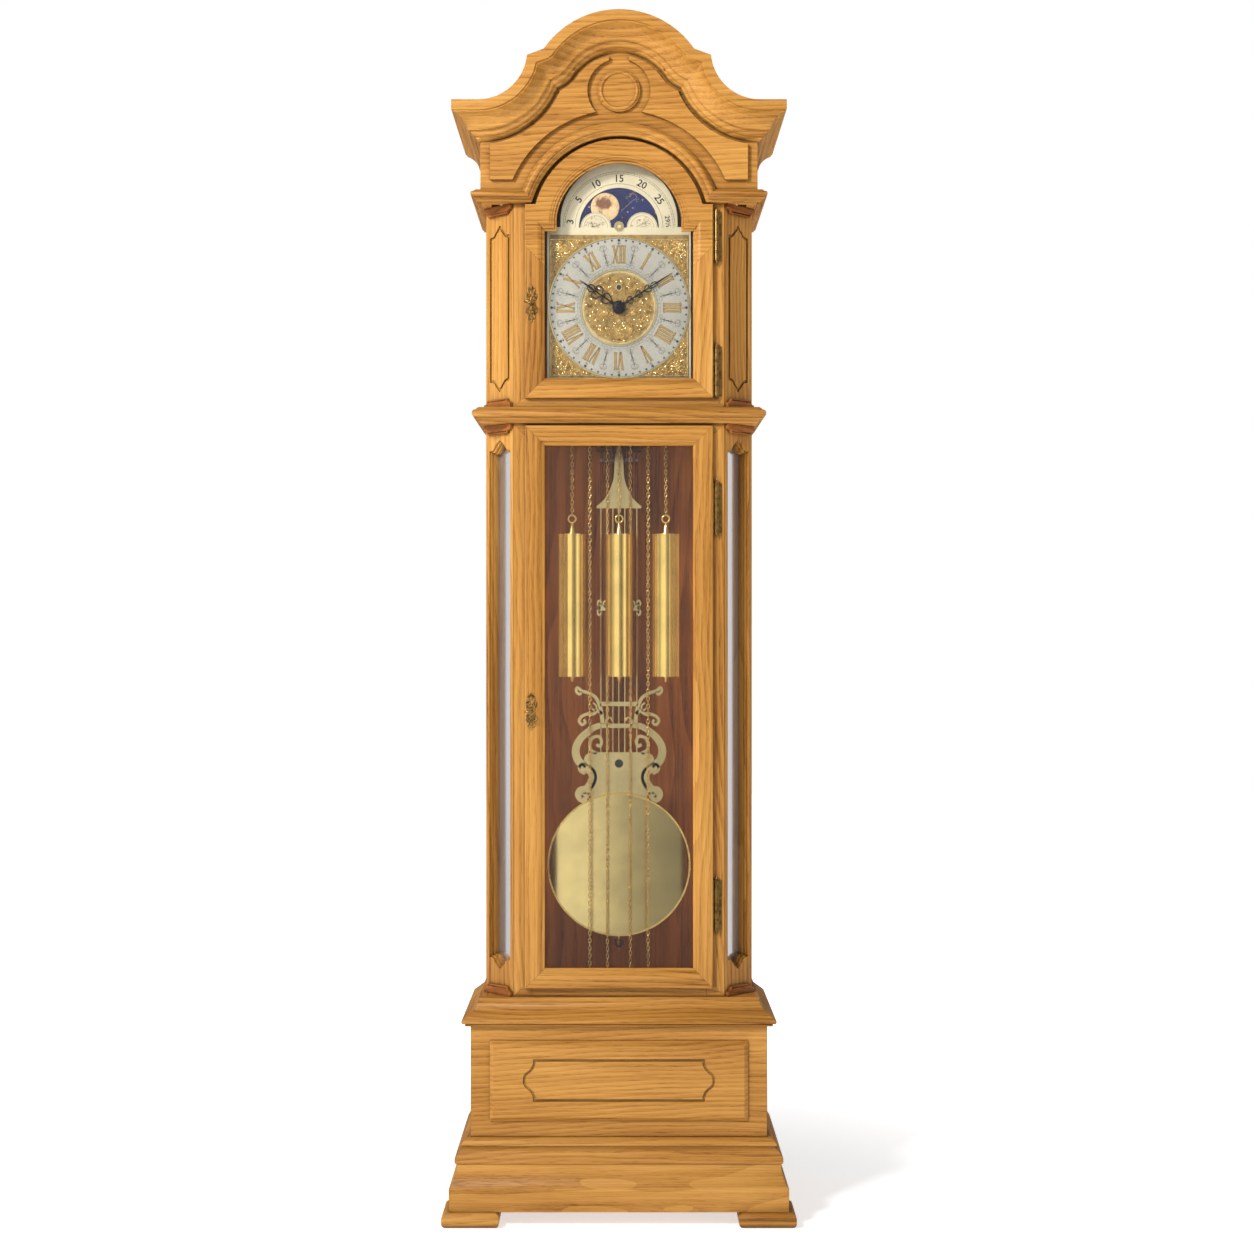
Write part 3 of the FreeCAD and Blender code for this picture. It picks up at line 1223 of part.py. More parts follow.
def make_pendulum():
    plane, metal, rod = size("pendulum_plane"), size("plate_metal"), size("rod_radius")
    front = plane - rod - metal - 0.1
    rods = []
    for number in range(-3, 4):
        x = number * size("rod_spacing")
        rods.append(Part.makeCylinder(rod, 1232 - 776, V(x, plane, 776)))
    strap = slab(rectangle(37, 1042, 1052), front, front + metal)
    stem_low, stem_high = 436, 776
    stem = Part.makeCylinder(rod, stem_high - stem_low - 0.2, V(0, plane, stem_low))
    keep("pendulum_rods", feature("pendulum_rods", Part.makeCompound(rods + [strap, stem])))

    right = trace((39.5, 1224), [(40, 1228), (30, 1236, 20, 1250), (12, 1268, 8.5, 1290), (7.5, 1312),
                                 (6, 1320), (4, 1326), (4, 1480)])
    header = slab(both_sides(right), front, front + metal)
    spring = block(-4, 4, plane - 0.4, plane + 0.4, 1565, size("pivot") - size("spring_gap"))
    hook = block(-4, 4, front, plane + 0.4, 1480, 1497)
    rod_top = block(-3, 3, front, front + metal, 1497, 1565)
    top_block = block(-4, 4, front, plane + 0.4, 1560, 1567)
    keep("pendulum_header", feature("pendulum_header", joined([header, hook, rod_top, top_block, spring])))

    outer = trace((44, 700), [
        (48, 706), (68, 704, 72, 716), (64, 730, 52, 730), (44, 738, 46.5, 745),
        (50, 756, 62, 762), (80, 775, 76.5, 795), (66, 818, 50, 832), (46, 838, 54, 840), (68, 836, 70, 848),
        (60, 860, 46, 858), (40, 868, 44, 878), (50, 892, 64, 888), (78, 892, 73, 905), (58, 912, 42, 900),
        (34, 886, 30, 872),
    ])
    lyre = slab(both_sides(outer), front, front + metal)
    opening = trace((40, 784), [(56, 792, 52, 806), (44, 822, 34, 830), (34, 838), (-34, 838), (-34, 830),
                                (-44, 822, -52, 806), (-56, 792, -40, 784), (40, 784)])
    upper = trace((30, 848), [(30, 866), (-30, 866), (-30, 848), (30, 848)])
    for hole in (opening, upper, circle(0, 770, 8)):
        lyre = lyre.cut(slab(hole, front - 1, front + metal + 1))
    keep("pendulum_lyre", feature("pendulum_lyre", lyre))

    radius, centre, thick, dome = (size(name) for name in ("bob_radius", "bob_centre", "bob_thick",
                                                           "bob_dome"))
    back = front - 0.1
    disc = Part.makeCylinder(radius, thick, V(0, back - thick, centre), V(0, 1, 0))
    ball_radius = (radius ** 2 + dome ** 2) / (2 * dome)
    ball = Part.makeSphere(ball_radius, V(0, back - thick - dome + ball_radius, centre))
    cap = ball.common(Part.makeCylinder(radius, dome + 1, V(0, back - thick - dome - 1, centre),
                                        V(0, 1, 0)))
    bob = disc.fuse(cap).removeSplitter()
    keep("pendulum_bob", feature("pendulum_bob", bob))

    nut = round_bar("nut_body", 9, 10, "0", "pendulum_plane", "bob_centre - bob_radius - 17")
    low_nut = taper("nut_taper", 5, 8.5, 4, "0", "pendulum_plane", "bob_centre - bob_radius - 21")
    whole = fuse("nut_whole", [nut, low_nut])
    bore = round_bar("nut_bore", "rod_radius + 0.05", 40, "0", "pendulum_plane",
                     "bob_centre - bob_radius - 30")
    keep("rating_nut", cut("rating_nut", whole, [bore]))


# ---------------------------------------------------------------- chimes

RODS = 8


def make_chimes():
    y, top, pitch = size("chime_plane"), size("chime_top"), size("chime_pitch")
    first = -pitch * (RODS - 1) / 2
    held = [
        board("chime_bar", ("-60", "60"), ("chime_plane - 12", "chime_plane + 12"),
              ("chime_top", "chime_top + 22")),
        board("chime_bracket", ("-40", "40"), ("chime_plane + 12", "back_face - 15"),
              ("chime_top - 10", "chime_top + 32")),
    ]
    rods = []
    for number in range(RODS):
        x = first + number * pitch
        low = 770 + number * 18
        rods.append(Part.makeCylinder(size("chime_radius"), top - low, V(x, y, low)))
    rods = feature("chime_rod_set", Part.makeCompound(rods))
    keep("chime_rods", group("chime_rods", held + [rods]))
    pivot_y, pivot_z = 80, 1352
    hammers = [Part.makeCylinder(2, 90, V(-45, pivot_y, pivot_z), V(1, 0, 0))]
    for number in range(RODS):
        x = first + number * pitch
        shank = Part.makeCylinder(1, 32, V(x, pivot_y, pivot_z - 34))
        head = Part.makeCylinder(3.6, 24, V(x, pivot_y, pivot_z - 38), V(0, 1, 0))
        hammers += [shank, head]
    keep("chime_hammers", feature("chime_hammers", joined(hammers)))


# ---------------------------------------------------------------- build, check, write

def main():
    fill_sheet()
    make_feet()
    make_plinth()
    make_base()
    make_base_panel()
    make_waist_moulding()
    make_sides()
    make_back_board()
    make_corner_posts()
    make_corner_blocks()
    make_trunk_frame()
    make_hood_moulding()
    make_hood_frame()
    make_arch_moulding()
    make_cornice()
    make_pediment()
    make_frieze_case()
    make_trunk_door()
    make_hood_door()
    make_lock("trunk_door", "trunk_lock")
    make_lock("hood_door", "hood_lock")
    make_hinges()
    make_dial()
    make_hands()
    make_movement()
    make_sprockets()
    make_escapement()
    make_weights()
    make_chains()
    make_pendulum()
    make_chimes()
    doc.recompute()
    check()
    write()


def check():
    for item in doc.Objects:
        if "Invalid" in item.State or "Error" in item.State:
            raise ValueError("%s failed: %s" % (item.Name, item.State))
    bad = []
    for item in NODES:
        shape = item.Shape
        if shape.isNull() or not shape.isValid() or not shape.Solids or shape.Volume <= 0:
            bad.append(item.Label)
    if bad:
        raise ValueError("no valid solid in " + ", ".join(bad))


def write():
    os.makedirs("parts", exist_ok=True)
    for item in NODES:
        item.Shape.exportStep("parts/%s.step" % item.Label)
        box = item.Shape.BoundBox
        print("%-26s solids %2d  x %7.1f..%7.1f  y %7.1f..%7.1f  z %7.1f..%7.1f" % (
            item.Label, len(item.Shape.Solids), box.XMin, box.XMax, box.YMin, box.YMax,
            box.ZMin, box.ZMax))
    print(len(NODES), "sub-parts")


main()
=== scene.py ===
"""A long-case clock in varnished oak: camera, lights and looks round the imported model."""
import json
import math
import random

import bmesh
import bpy
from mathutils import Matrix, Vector


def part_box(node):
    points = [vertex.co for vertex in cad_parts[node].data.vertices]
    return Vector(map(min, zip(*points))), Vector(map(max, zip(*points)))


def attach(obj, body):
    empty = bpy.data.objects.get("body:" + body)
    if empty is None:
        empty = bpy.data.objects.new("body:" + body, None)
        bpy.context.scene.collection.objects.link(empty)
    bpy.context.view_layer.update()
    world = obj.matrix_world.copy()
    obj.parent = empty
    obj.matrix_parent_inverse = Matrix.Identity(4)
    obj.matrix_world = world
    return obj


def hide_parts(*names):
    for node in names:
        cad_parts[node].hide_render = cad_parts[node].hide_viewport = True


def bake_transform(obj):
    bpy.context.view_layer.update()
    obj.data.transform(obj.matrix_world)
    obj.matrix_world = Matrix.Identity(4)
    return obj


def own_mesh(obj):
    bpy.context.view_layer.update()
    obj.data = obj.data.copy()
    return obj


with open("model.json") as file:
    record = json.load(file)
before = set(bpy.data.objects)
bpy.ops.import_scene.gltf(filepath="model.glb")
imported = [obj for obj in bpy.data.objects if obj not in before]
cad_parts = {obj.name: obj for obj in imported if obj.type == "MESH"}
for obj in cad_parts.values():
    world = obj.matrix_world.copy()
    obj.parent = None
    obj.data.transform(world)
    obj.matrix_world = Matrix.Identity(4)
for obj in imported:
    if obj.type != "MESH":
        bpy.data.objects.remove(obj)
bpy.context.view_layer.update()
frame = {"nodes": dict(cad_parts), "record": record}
nodes = frame["nodes"]
scene = bpy.context.scene

MM = 0.001  # a millimetre in metres

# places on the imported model, in millimetres
DIAL_Z = 1563.5
RING_Y = -73.6
PLATE_Y = -72.0
MOON_Z = 1702
MOON_FACE_Y = -69.4
WINDING_HOLE = 35
HUMP_X = 40
DOOR_Y = -107.0
LOCK_X = -150
LOCKS = {"trunk_door": 868, "hood_door": 1565}
CHAIN_Y = -25.0
CHAIN_TOP = 1500
PULL_END = 1206
FREE_END = 300
LOOP_X = 20.25
LOOP_BEND = 320.25
LOOP_Y = 5.0
CHAINS = {"strike": (-82, -51), "going": (0.25, -LOOP_X), "chime": (82, 51)}
LYRE_FRONT, LYRE_BACK = 30.9, 33.4
STRAP_Z = 1047
BOB_Z, BOB_RADIUS = 591, 127

SANDED, PANEL_BEVEL = 0.0012, 0.0048  # how wide the oak's edges are eased, in metres


# ---------------------------------------------------------------- shader nodes

class Net:
    """Short calls for wiring shader nodes."""

    def __init__(self, tree):
        self.tree = tree

    def plug(self, value, socket):
        if isinstance(value, bpy.types.NodeSocket):
            self.tree.links.new(value, socket)
        else:
            socket.default_value = value

    def wire(self, made, **values):
        """Gives inputs their values by name, with _ for a space."""
        for name, value in values.items():
            self.plug(value, made.inputs[name.replace("_", " ")])

    def node(self, kind, *values, **settings):
        made = self.tree.nodes.new("ShaderNode" + kind)
        for key, value in settings.items():
            setattr(made, key, value)
        for value, socket in zip(values, made.inputs):
            self.plug(value, socket)
        return made

    def math(self, operation, *values, clamp=False):
        return self.node("Math", *values, operation=operation, use_clamp=clamp).outputs[0]

    def vector(self, operation, *values):
        return self.node("VectorMath", *values, operation=operation).outputs[0]

    def parts(self, vector):
        return self.node("SeparateXYZ", vector).outputs

    def joined(self, *values):
        return self.node("CombineXYZ", *values).outputs[0]

    def mapped(self, vector, scale=(1, 1, 1), shift=(0, 0, 0), turn=(0, 0, 0)):
        made = self.node("Mapping")
        self.wire(made, Vector=vector, Scale=scale, Location=shift, Rotation=turn)
        return made.outputs[0]

    def noise(self, vector, scale=1.0, detail=2.0, roughness=0.5, output="Fac"):
        made = self.node("TexNoise")
        self.wire(made, Vector=vector, Scale=scale, Detail=detail, Roughness=roughness)
        return made.outputs[output]

    def span(self, value, low, high, start=0.0, end=1.0):
        """A smooth step from start to end as value goes from low to high."""
        made = self.node("MapRange", interpolation_type="SMOOTHSTEP")
        self.wire(made, Value=value, From_Min=low, From_Max=high, To_Min=start, To_Max=end)
        return made.outputs["Result"]

    def ramp(self, value, stops):
        made = self.node("ValToRGB", value)
        points = made.color_ramp.elements
        while len(points) < len(stops):
            points.new(1.0)
        for point, (where, colour) in zip(points, stops):
            point.position = where
            point.color = colour
        return made.outputs["Color"]

    def mix(self, share, first, second, blend="MIX"):
        made = self.node("Mix", share, data_type="RGBA", blend_type=blend)
        self.plug(first, made.inputs[6])
        self.plug(second, made.inputs[7])
        return made.outputs[2]

    def choose(self, share, first, second):
        """One vector where share is 0 and the other where it is 1."""
        made = self.node("Mix", share, data_type="VECTOR")
        self.plug(first, made.inputs[4])
        self.plug(second, made.inputs[5])
        return made.outputs[1]


class Graph(Net):
    """The nodes of one new material."""

    def __init__(self, name):
        self.material = bpy.data.materials.new(name)
        self.material.use_nodes = True
        super().__init__(self.material.node_tree)
        self.shader = self.tree.nodes["Principled BSDF"]
        self.place = self.node("TexCoord").outputs["Object"]

    def bump(self, height, strength, distance):
        made = self.node("Bump")
        self.wire(made, Height=height, Strength=strength, Distance=distance)
        self.set(Normal=made.outputs[0])

    def set(self, **values):
        self.wire(self.shader, **values)


# ---------------------------------------------------------------- camera, light and floor

def add_camera():
    """A level camera in front of the middle of the trunk."""
    data = bpy.data.cameras.new("camera")
    data.sensor_width = 36
    data.lens = 56.4
    data.shift_x = 0.0064
    data.shift_y = 0.008
    camera = bpy.data.objects.new("camera", data)
    camera.location = (0, -3.465, 0.995)
    camera.rotation_euler = (math.radians(90), 0, 0)
    scene.collection.objects.link(camera)
    scene.camera = camera


def add_area(name, place, aim, width, height, power, tint=(1, 1, 1), mirrored=True):
    data = bpy.data.lights.new(name, "AREA")
    data.shape = "RECTANGLE"
    data.size = width
    data.size_y = height
    data.energy = power
    data.color = tint
    lamp = bpy.data.objects.new(name, data)
    lamp.location = place
    lamp.rotation_euler = (Vector(aim) - Vector(place)).to_track_quat("-Z", "Y").to_euler()
    lamp.visible_camera = False
    lamp.visible_glossy = mirrored
    scene.collection.objects.link(lamp)


# how bright the studio looks in a reflection, by the angle in degrees to the right of the front
STUDIO_GLOSS = [(-180, 0.15), (-125, 0.3), (-100, 0.8), (-84, 0.8), (-66, 0.4), (-50, 0.5), (-34, 1.2),
                (-8, 1.3), (-2, 0.9), (2, 0.42), (9, 0.3), (14, 0.1), (38, 0.08), (48, 0.7), (62, 0.55),
                (80, 0.95), (104, 0.95), (125, 0.3), (180, 0.15)]


def add_lights():
    add_area("key", (-1.9, -2.6, 2.9), (0, 0, 1.1), 0.55, 0.55, 118, (1, 0.98, 0.95))
    add_area("fill", (2.4, -2.6, 1.2), (0, 0, 1.0), 1.6, 2.4, 9)
    add_area("side", (-2.6, -0.6, 1.2), (0, 0, 1.0), 0.8, 2.4, 9)
    # thin strips behind the door's stiles, which light the inside of the trunk
    middle = 0.87
    for side in (-1, 1):
        add_area("inside", (side * 0.143, -0.074, middle), (0, 0.09, middle), 0.012, 0.9, 0.75,
                 (1, 0.88, 0.7), mirrored=False)
    add_world()


def add_world():
    """A studio that is even to matt surfaces, uneven to glossy ones and white to the camera."""
    world = bpy.data.worlds.new("studio")
    world.use_nodes = True
    net = Net(world.node_tree)
    x, y, _ = net.parts(net.node("TexCoord").outputs["Generated"])
    turn = net.math("ARCTAN2", x, net.math("MULTIPLY", y, -1))
    share = net.math("MULTIPLY_ADD", turn, 0.5 / math.pi, 0.5)
    stops = [((angle + 180) / 360, (level, level, level, 1)) for angle, level in STUDIO_GLOSS]
    studio = net.ramp(share, stops)
    rays = net.node("LightPath").outputs
    even = net.mix(rays["Is Diffuse Ray"], studio, (0.25, 0.25, 0.25, 1))
    seen = net.mix(rays["Is Camera Ray"], even, (1, 1, 1, 1))
    net.wire(net.tree.nodes["Background"], Color=seen)
    scene.world = world
    scene.view_settings.view_transform = "Standard"


def add_floor():
    """A plain pale floor that glows, with painted light: the glow is weaker near the clock, so the floor is a
    little darker there.
    """
    mesh = bpy.data.meshes.new("floor")
    half = 9
    corners = [(-half, -half, 0), (half, -half, 0), (half, half, 0), (-half, half, 0)]
    mesh.from_pydata(corners, [], [range(4)])
    floor = bpy.data.objects.new("floor", mesh)
    scene.collection.objects.link(floor)
    g = Graph("pale_floor")
    x, y, _ = g.parts(g.place)
    away = g.math("SQRT", g.math("ADD", g.math("MULTIPLY", x, x), g.math("MULTIPLY", y, y)))
    # painted light: the floor's glow rises from 0.6 near the clock to 0.98 farther out
    g.set(Base_Color=(0.8, 0.8, 0.8, 1), Roughness=0.8, Emission_Color=(1, 1, 1, 1),
          Emission_Strength=g.span(away, 0.35, 1.3, 0.6, 0.98))
    mesh.materials.append(g.material)
    floor.visible_glossy = False  # the studio's own levels are what the metals reflect


# ---------------------------------------------------------------- materials

def tone(red, green, blue):
    """A colour given as the 0-255 values of a screen, made linear."""
    linear = [((c / 255 + 0.055) / 1.055) ** 2.4 if c > 10 else c / 255 / 12.92 for c in (red, green, blue)]
    return (*linear, 1)


# timber colours from its darkest streaks to its palest
OAK = [(0.0, tone(114, 66, 20)), (0.35, tone(168, 115, 48)),
       (0.7, tone(195, 141, 68)), (1.0, tone(216, 165, 92))]
RED_OAK = [(0.0, tone(92, 50, 14)), (0.35, tone(140, 80, 30)),
           (0.7, tone(166, 102, 44)), (1.0, tone(184, 120, 56))]
WALNUT = [(0.0, tone(70, 38, 10)), (0.4, tone(132, 76, 26)),
          (0.75, tone(158, 96, 38)), (1.0, tone(176, 114, 50))]


# half the width and the front of the moulded blocks whose side returns are mitred
MOULDED = {
    "plinth": (287, 153), "plinth_moulding": (287, 153), "waist_moulding": (231, 97),
    "base_box": (252.5, 119), "hood_moulding": (231, 97), "cornice": (237, 106),
    "hood_top_case": (237, 106),
}
# frames, each with the height above which its grain is level, or None
FRAMES = {"trunk_door_frame": None, "hood_door_frame": 1.664, "trunk_front_frame": None,
          "hood_front_frame": None}
# other nodes whose boards lie level
LEVEL = ("feet", "base_floor", "base_panel", "arch_moulding", "pediment_board", "pediment_panels",
         "seat_board")


def along(g, grain):
    """The coordinates with the grain's direction brought to Z. grain is x, y or z."""
    x, y, z = g.parts(g.place)
    order = {"x": (z, y, x), "y": (x, z, y), "z": (x, y, z)}[grain]
    return g.joined(*order)


def mitred(g, half, front):
    """X grain on the front of a moulded block and Y grain on its side returns."""
    x, y, z = g.parts(g.place)
    beside = g.math("SUBTRACT", g.math("ABSOLUTE", x), half)
    before = g.math("SUBTRACT", g.math("MULTIPLY", y, -1), front)
    side = g.math("GREATER_THAN", beside, before)
    seam = g.math("ABSOLUTE", g.math("SUBTRACT", beside, before))
    return g.choose(side, along(g, "x"), along(g, "y")), seam


def framed(g, node, arched=None):
    """Z grain on a frame's stiles and X grain on its rails."""
    low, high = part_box(node)
    x, y, z = g.parts(g.place)
    sideways = g.math("MINIMUM", g.math("SUBTRACT", x, low.x), g.math("SUBTRACT", high.x, x))
    top = arched or high.z
    upright = g.math("MINIMUM", g.math("SUBTRACT", z, low.z), g.math("SUBTRACT", top, z))
    rail = g.math("GREATER_THAN", sideways, upright)
    if arched:
        rail = g.math("MAXIMUM", rail, g.math("GREATER_THAN", z, arched))
    seam = g.math("ABSOLUTE", g.math("SUBTRACT", sideways, upright))
    return g.choose(rail, along(g, "z"), along(g, "x")), seam


def wood(name, tones, grain, seed, ring=0.009, gloss=0.36):
    """Open-pored, varnished timber, with painted shade in its creases. grain names a direction, or gives
    coordinates and a joint line.
    """
    g = Graph(name)
    place, joint = grain(g) if callable(grain) else (along(g, grain), None)
    rng = random.Random(seed)
    offset = [rng.uniform(-3, 3) for _ in range(3)]
    moved = g.mapped(place, shift=offset)
    wander = g.noise(g.mapped(moved, scale=(3.2, 3.2, 1.1)), detail=3, output="Color")
    sway = g.vector("MULTIPLY", g.vector("SUBTRACT", wander, (0.5, 0.5, 0.5)), (0.11, 0.11, 0.0))
    centre = (rng.uniform(-0.09, 0.09), rng.uniform(0.05, 0.2), 0)
    lean = (rng.uniform(-0.03, 0.03), rng.uniform(-0.05, 0.05), 0)
    core = g.mapped(g.vector("ADD", place, sway), shift=centre, turn=lean)
    rings = g.node("TexWave", wave_type="RINGS", rings_direction="Z", wave_profile="SAW")
    g.wire(rings, Vector=core, Scale=2 * math.pi / 20 / ring, Distortion=0.0)
    band = g.span(rings.outputs["Fac"], 0.0, 0.85)
    fibre = g.noise(g.mapped(moved, scale=(420, 420, 7)), detail=3, roughness=0.6)
    streak = g.noise(g.mapped(moved, scale=(60, 60, 1.6)), detail=3, roughness=0.6)
    pores = g.noise(g.mapped(moved, scale=(1300, 1300, 42)), detail=1)
    early = g.math("SUBTRACT", 1.0, band)
    dash = g.math("MULTIPLY", g.span(pores, 0.56, 0.66), g.math("MULTIPLY_ADD", early, 0.65, 0.35))
    cloud = g.noise(g.mapped(moved, scale=(5, 5, 1.4)), detail=2)
    shade = g.math("MULTIPLY_ADD", band, 0.18, g.math("MULTIPLY", g.span(fibre, 0.3, 0.7), 0.2))
    shade = g.math("ADD", shade, g.math("MULTIPLY", g.span(streak, 0.3, 0.7), 0.22))
    shade = g.math("ADD", shade, g.math("MULTIPLY", g.span(cloud, 0.25, 0.75), 0.38))
    shade = g.math("SUBTRACT", shade, g.math("MULTIPLY", dash, 0.26), clamp=True)
    colour = g.ramp(shade, tones)
    if joint is not None:
        line = g.span(joint, 0.0, 0.0011, 0.62, 1.0)
        colour = g.mix(1.0, colour, g.joined(line, line, line), "MULTIPLY")
    # painted shade: the base colour is darkened where ambient occlusion finds creases, recesses and corners
    hollow = g.node("AmbientOcclusion", samples=6)
    g.wire(hollow, Distance=0.014)
    painted_crease_shade = g.span(hollow.outputs["AO"], 0.15, 0.95, 0.38, 1.0)
    colour = g.mix(1.0, colour, g.joined(painted_crease_shade, painted_crease_shade, painted_crease_shade), "MULTIPLY")
    g.set(Base_Color=colour, Roughness=g.math("MULTIPLY_ADD", fibre, 0.18, gloss),
          Coat_Weight=0.04, Coat_Roughness=0.3, Specular_IOR_Level=0.2)
    height = g.math("SUBTRACT", g.math("MULTIPLY", fibre, 0.35), g.math("MULTIPLY", dash, 0.9))
    g.bump(height, 0.35, 0.0004)
    return g.material


def metal(name, colour, roughness, stretch=(1, 1, 1), grain=90.0, depth=0.05, patina=None, share=0.3,
          metallic=1.0):
    """A metal with fine working marks, and a patina in blotches where one is given."""
    g = Graph(name)
    marks = g.noise(g.mapped(g.place, scale=stretch), scale=grain, detail=4, roughness=0.6)
    cloud = g.noise(g.place, scale=22, detail=3)
    base = g.ramp(g.span(cloud, 0.3, 0.7), [(0.0, tone(*[c * 0.93 for c in colour])), (1.0, tone(*colour))])
    if patina:
        blotch = g.span(g.noise(g.place, scale=140, detail=4), 0.42, 0.66)
        base = g.mix(g.math("MULTIPLY", blotch, share), base, tone(*patina))
    g.set(Base_Color=base, Metallic=metallic,
          Roughness=g.math("MULTIPLY_ADD", marks, roughness * 0.5, roughness * 0.75))
    if depth:
        g.bump(marks, depth, 0.0006)
    return g.material


def pane(name):
    """Clear glass that lets the light through to what is behind it."""
    g = Graph(name)
    smear = g.noise(g.place, scale=5, detail=3)
    g.set(Base_Color=(0.3, 0.31, 0.31, 1), Roughness=0.03, Specular_IOR_Level=0.6,
          Alpha=g.math("MULTIPLY_ADD", smear, 0.02, 0.02))
    return g.material


def mirror(name):
    """Silvered glass of the canted corners, slightly grey."""
    g = Graph(name)
    cloud = g.noise(g.mapped(g.place, scale=(3, 3, 0.8)), detail=2)
    g.set(Base_Color=g.ramp(cloud, [(0.2, tone(196, 198, 204)), (0.8, tone(222, 224, 228))]),
          Metallic=0.9, Roughness=0.16)
    return g.material


def flat_colour(name, colour, roughness, spread=0.12):
    """A painted or printed surface with a little mottle."""
    g = Graph(name)
    cloud = g.noise(g.place, scale=300, detail=3)
    g.set(Base_Color=g.ramp(cloud, [(0.3, tone(*[c * (1 - spread) for c in colour])), (0.7, tone(*colour))]))
    g.set(Roughness=g.math("MULTIPLY_ADD", cloud, 0.2, roughness - 0.1))
    return g.material


def moon_material(name):
    """A cream moon with soft brown maria."""
    g = Graph(name)
    maria = g.span(g.noise(g.place, scale=46, detail=4, roughness=0.55), 0.46, 0.60)
    speck = g.noise(g.place, scale=320, detail=2)
    ground = g.ramp(speck, [(0.3, tone(206, 172, 122)), (0.7, tone(228, 200, 152))])
    g.set(Base_Color=g.mix(g.math("MULTIPLY", maria, 0.9), ground, tone(104, 48, 24)), Roughness=0.45)
    return g.material


def sky_material(name):
    """Deep blue enamel that is lighter in clouds."""
    g = Graph(name)
    cloud = g.noise(g.place, scale=34, detail=4)
    g.set(Base_Color=g.ramp(cloud, [(0.35, tone(10, 14, 44)), (0.65, tone(26, 38, 96))]), Roughness=0.32)
    return g.material


looks = {
    "oak": wood("oak_level", OAK, "x", 3),
    "walnut": wood("walnut", WALNUT, "z", 11, ring=0.012, gloss=0.42),
    "clear_glass": pane("clear_glass"),
    "bevelled_glass": mirror("bevelled_glass"),
    "brass": metal("brass", (150, 116, 64), 0.30, patina=(70, 48, 24), share=0.6),
    "aged_brass": metal("aged_brass", (206, 164, 96), 0.28, patina=(50, 32, 16), share=0.8),
    "polished_brass": metal("polished_brass", (238, 202, 114), 0.09, stretch=(1, 1, 14), grain=30,
                            depth=0.01, metallic=0.86),
    "satin_brass": metal("satin_brass", (226, 204, 142), 0.20, stretch=(8, 8, 0.5), depth=0.03),
    "bob_brass": metal("bob_brass", (226, 202, 134), 0.13, stretch=(8, 8, 0.5), depth=0.01),
    "movement_brass": metal("movement_brass", (198, 160, 88), 0.35),
    "dial_brass": metal("dial_brass", (232, 220, 184), 0.34, stretch=(0.6, 1, 12), metallic=0.4),
    "gilt": metal("gilt", (186, 152, 86), 0.34, patina=(96, 68, 32), share=0.5, metallic=0.7),
    "ornament": metal("ornament", (240, 216, 152), 0.24, patina=(160, 124, 62), share=0.4,
                      metallic=0.75),
    "silvered": metal("silvered", (212, 208, 192), 0.24, grain=160, depth=0.0, metallic=0.7),
    "moon_enamel": sky_material("moon_enamel"),
    "moon_face": moon_material("moon_face"),
    "numeral_gold": metal("numeral_gold", (206, 168, 92), 0.30, metallic=0.7),
    # painted shade: the dark rim round the numerals stands for their shaded sides
    "numeral_shade_rim": metal("numeral_shade_rim", (96, 70, 34), 0.40),
    "chain_brass": metal("chain_brass", (226, 192, 112), 0.26, patina=(150, 112, 56), metallic=0.85),
    "ink": flat_colour("ink", (26, 24, 24), 0.5),
    "engraved_line": flat_colour("engraved_line", (120, 96, 58), 0.5),
    "black_steel": metal("black_steel", (34, 32, 32), 0.36),
    "steel": metal("steel", (150, 150, 150), 0.34),
    "chime_bronze": metal("chime_bronze", (170, 120, 70), 0.3),
}


def oak_for(name, seed):
    """The oak of one CAD node, with its grain along its boards."""
    if name in MOULDED:
        half, front = (value * 0.001 for value in MOULDED[name])
        return wood(name + "_oak", OAK, lambda g: mitred(g, half, front), seed)
    if name in FRAMES:
        return wood(name + "_oak", OAK, lambda g: framed(g, name, FRAMES[name]), seed)
    if name == "corner_blocks":
        return wood(name + "_oak", RED_OAK, "x", seed)
    if name == "corner_posts":
        return wood(name + "_oak", OAK, "z", seed)
    return wood(name + "_oak", OAK, "x" if name in LEVEL else "z", seed)


def ease_edges(item, width):
    """Rounds a CAD node's sharp edges a little, as sanding does."""
    weld = item.modifiers.new("weld", "WELD")
    weld.merge_threshold = 1e-6
    bevel = item.modifiers.new("eased", "BEVEL")
    bevel.width = width
    bevel.segments = 2
    bevel.limit_method = "ANGLE"
    bevel.angle_limit = math.radians(35)
    bevel.harden_normals = True


def paint_nodes():
    slots = {entry["node"]: entry["material_slot"] for entry in frame["record"]["subparts"]}
    for seed, (name, item) in enumerate(sorted(nodes.items())):
        look = oak_for(name, seed) if slots[name] == "oak" else looks[slots[name]]
        if name == "pendulum_bob":
            look = looks["bob_brass"]
        if slots[name] == "oak":
            ease_edges(item, PANEL_BEVEL if name == "pediment_panels" else SANDED)
        item.data.materials.clear()
        item.data.materials.append(look)


# ---------------------------------------------------------------- mesh tools

def spline(points, steps=6):
    """A smooth path through points, which are tuples of any one length."""
    ends = [points[0], *points, points[-1]]
    path = []
    for before, start, stop, after in zip(ends, ends[1:], ends[2:], ends[3:]):
        for step in range(steps):
            t = step / steps
            path.append(tuple(
                0.5 * (2 * b + (c - a) * t + (2 * a - 5 * b + 4 * c - d) * t ** 2
                       + (3 * b - a - 3 * c + d) * t ** 3)
                for a, b, c, d in zip(before, start, stop, after)))
    return [*path, points[-1]]


def flipped(path, side, steps=6):
    """A smooth path through front-view points, mirrored in X where side is -1."""
    return spline([(side * x, z) for x, z in path], steps)


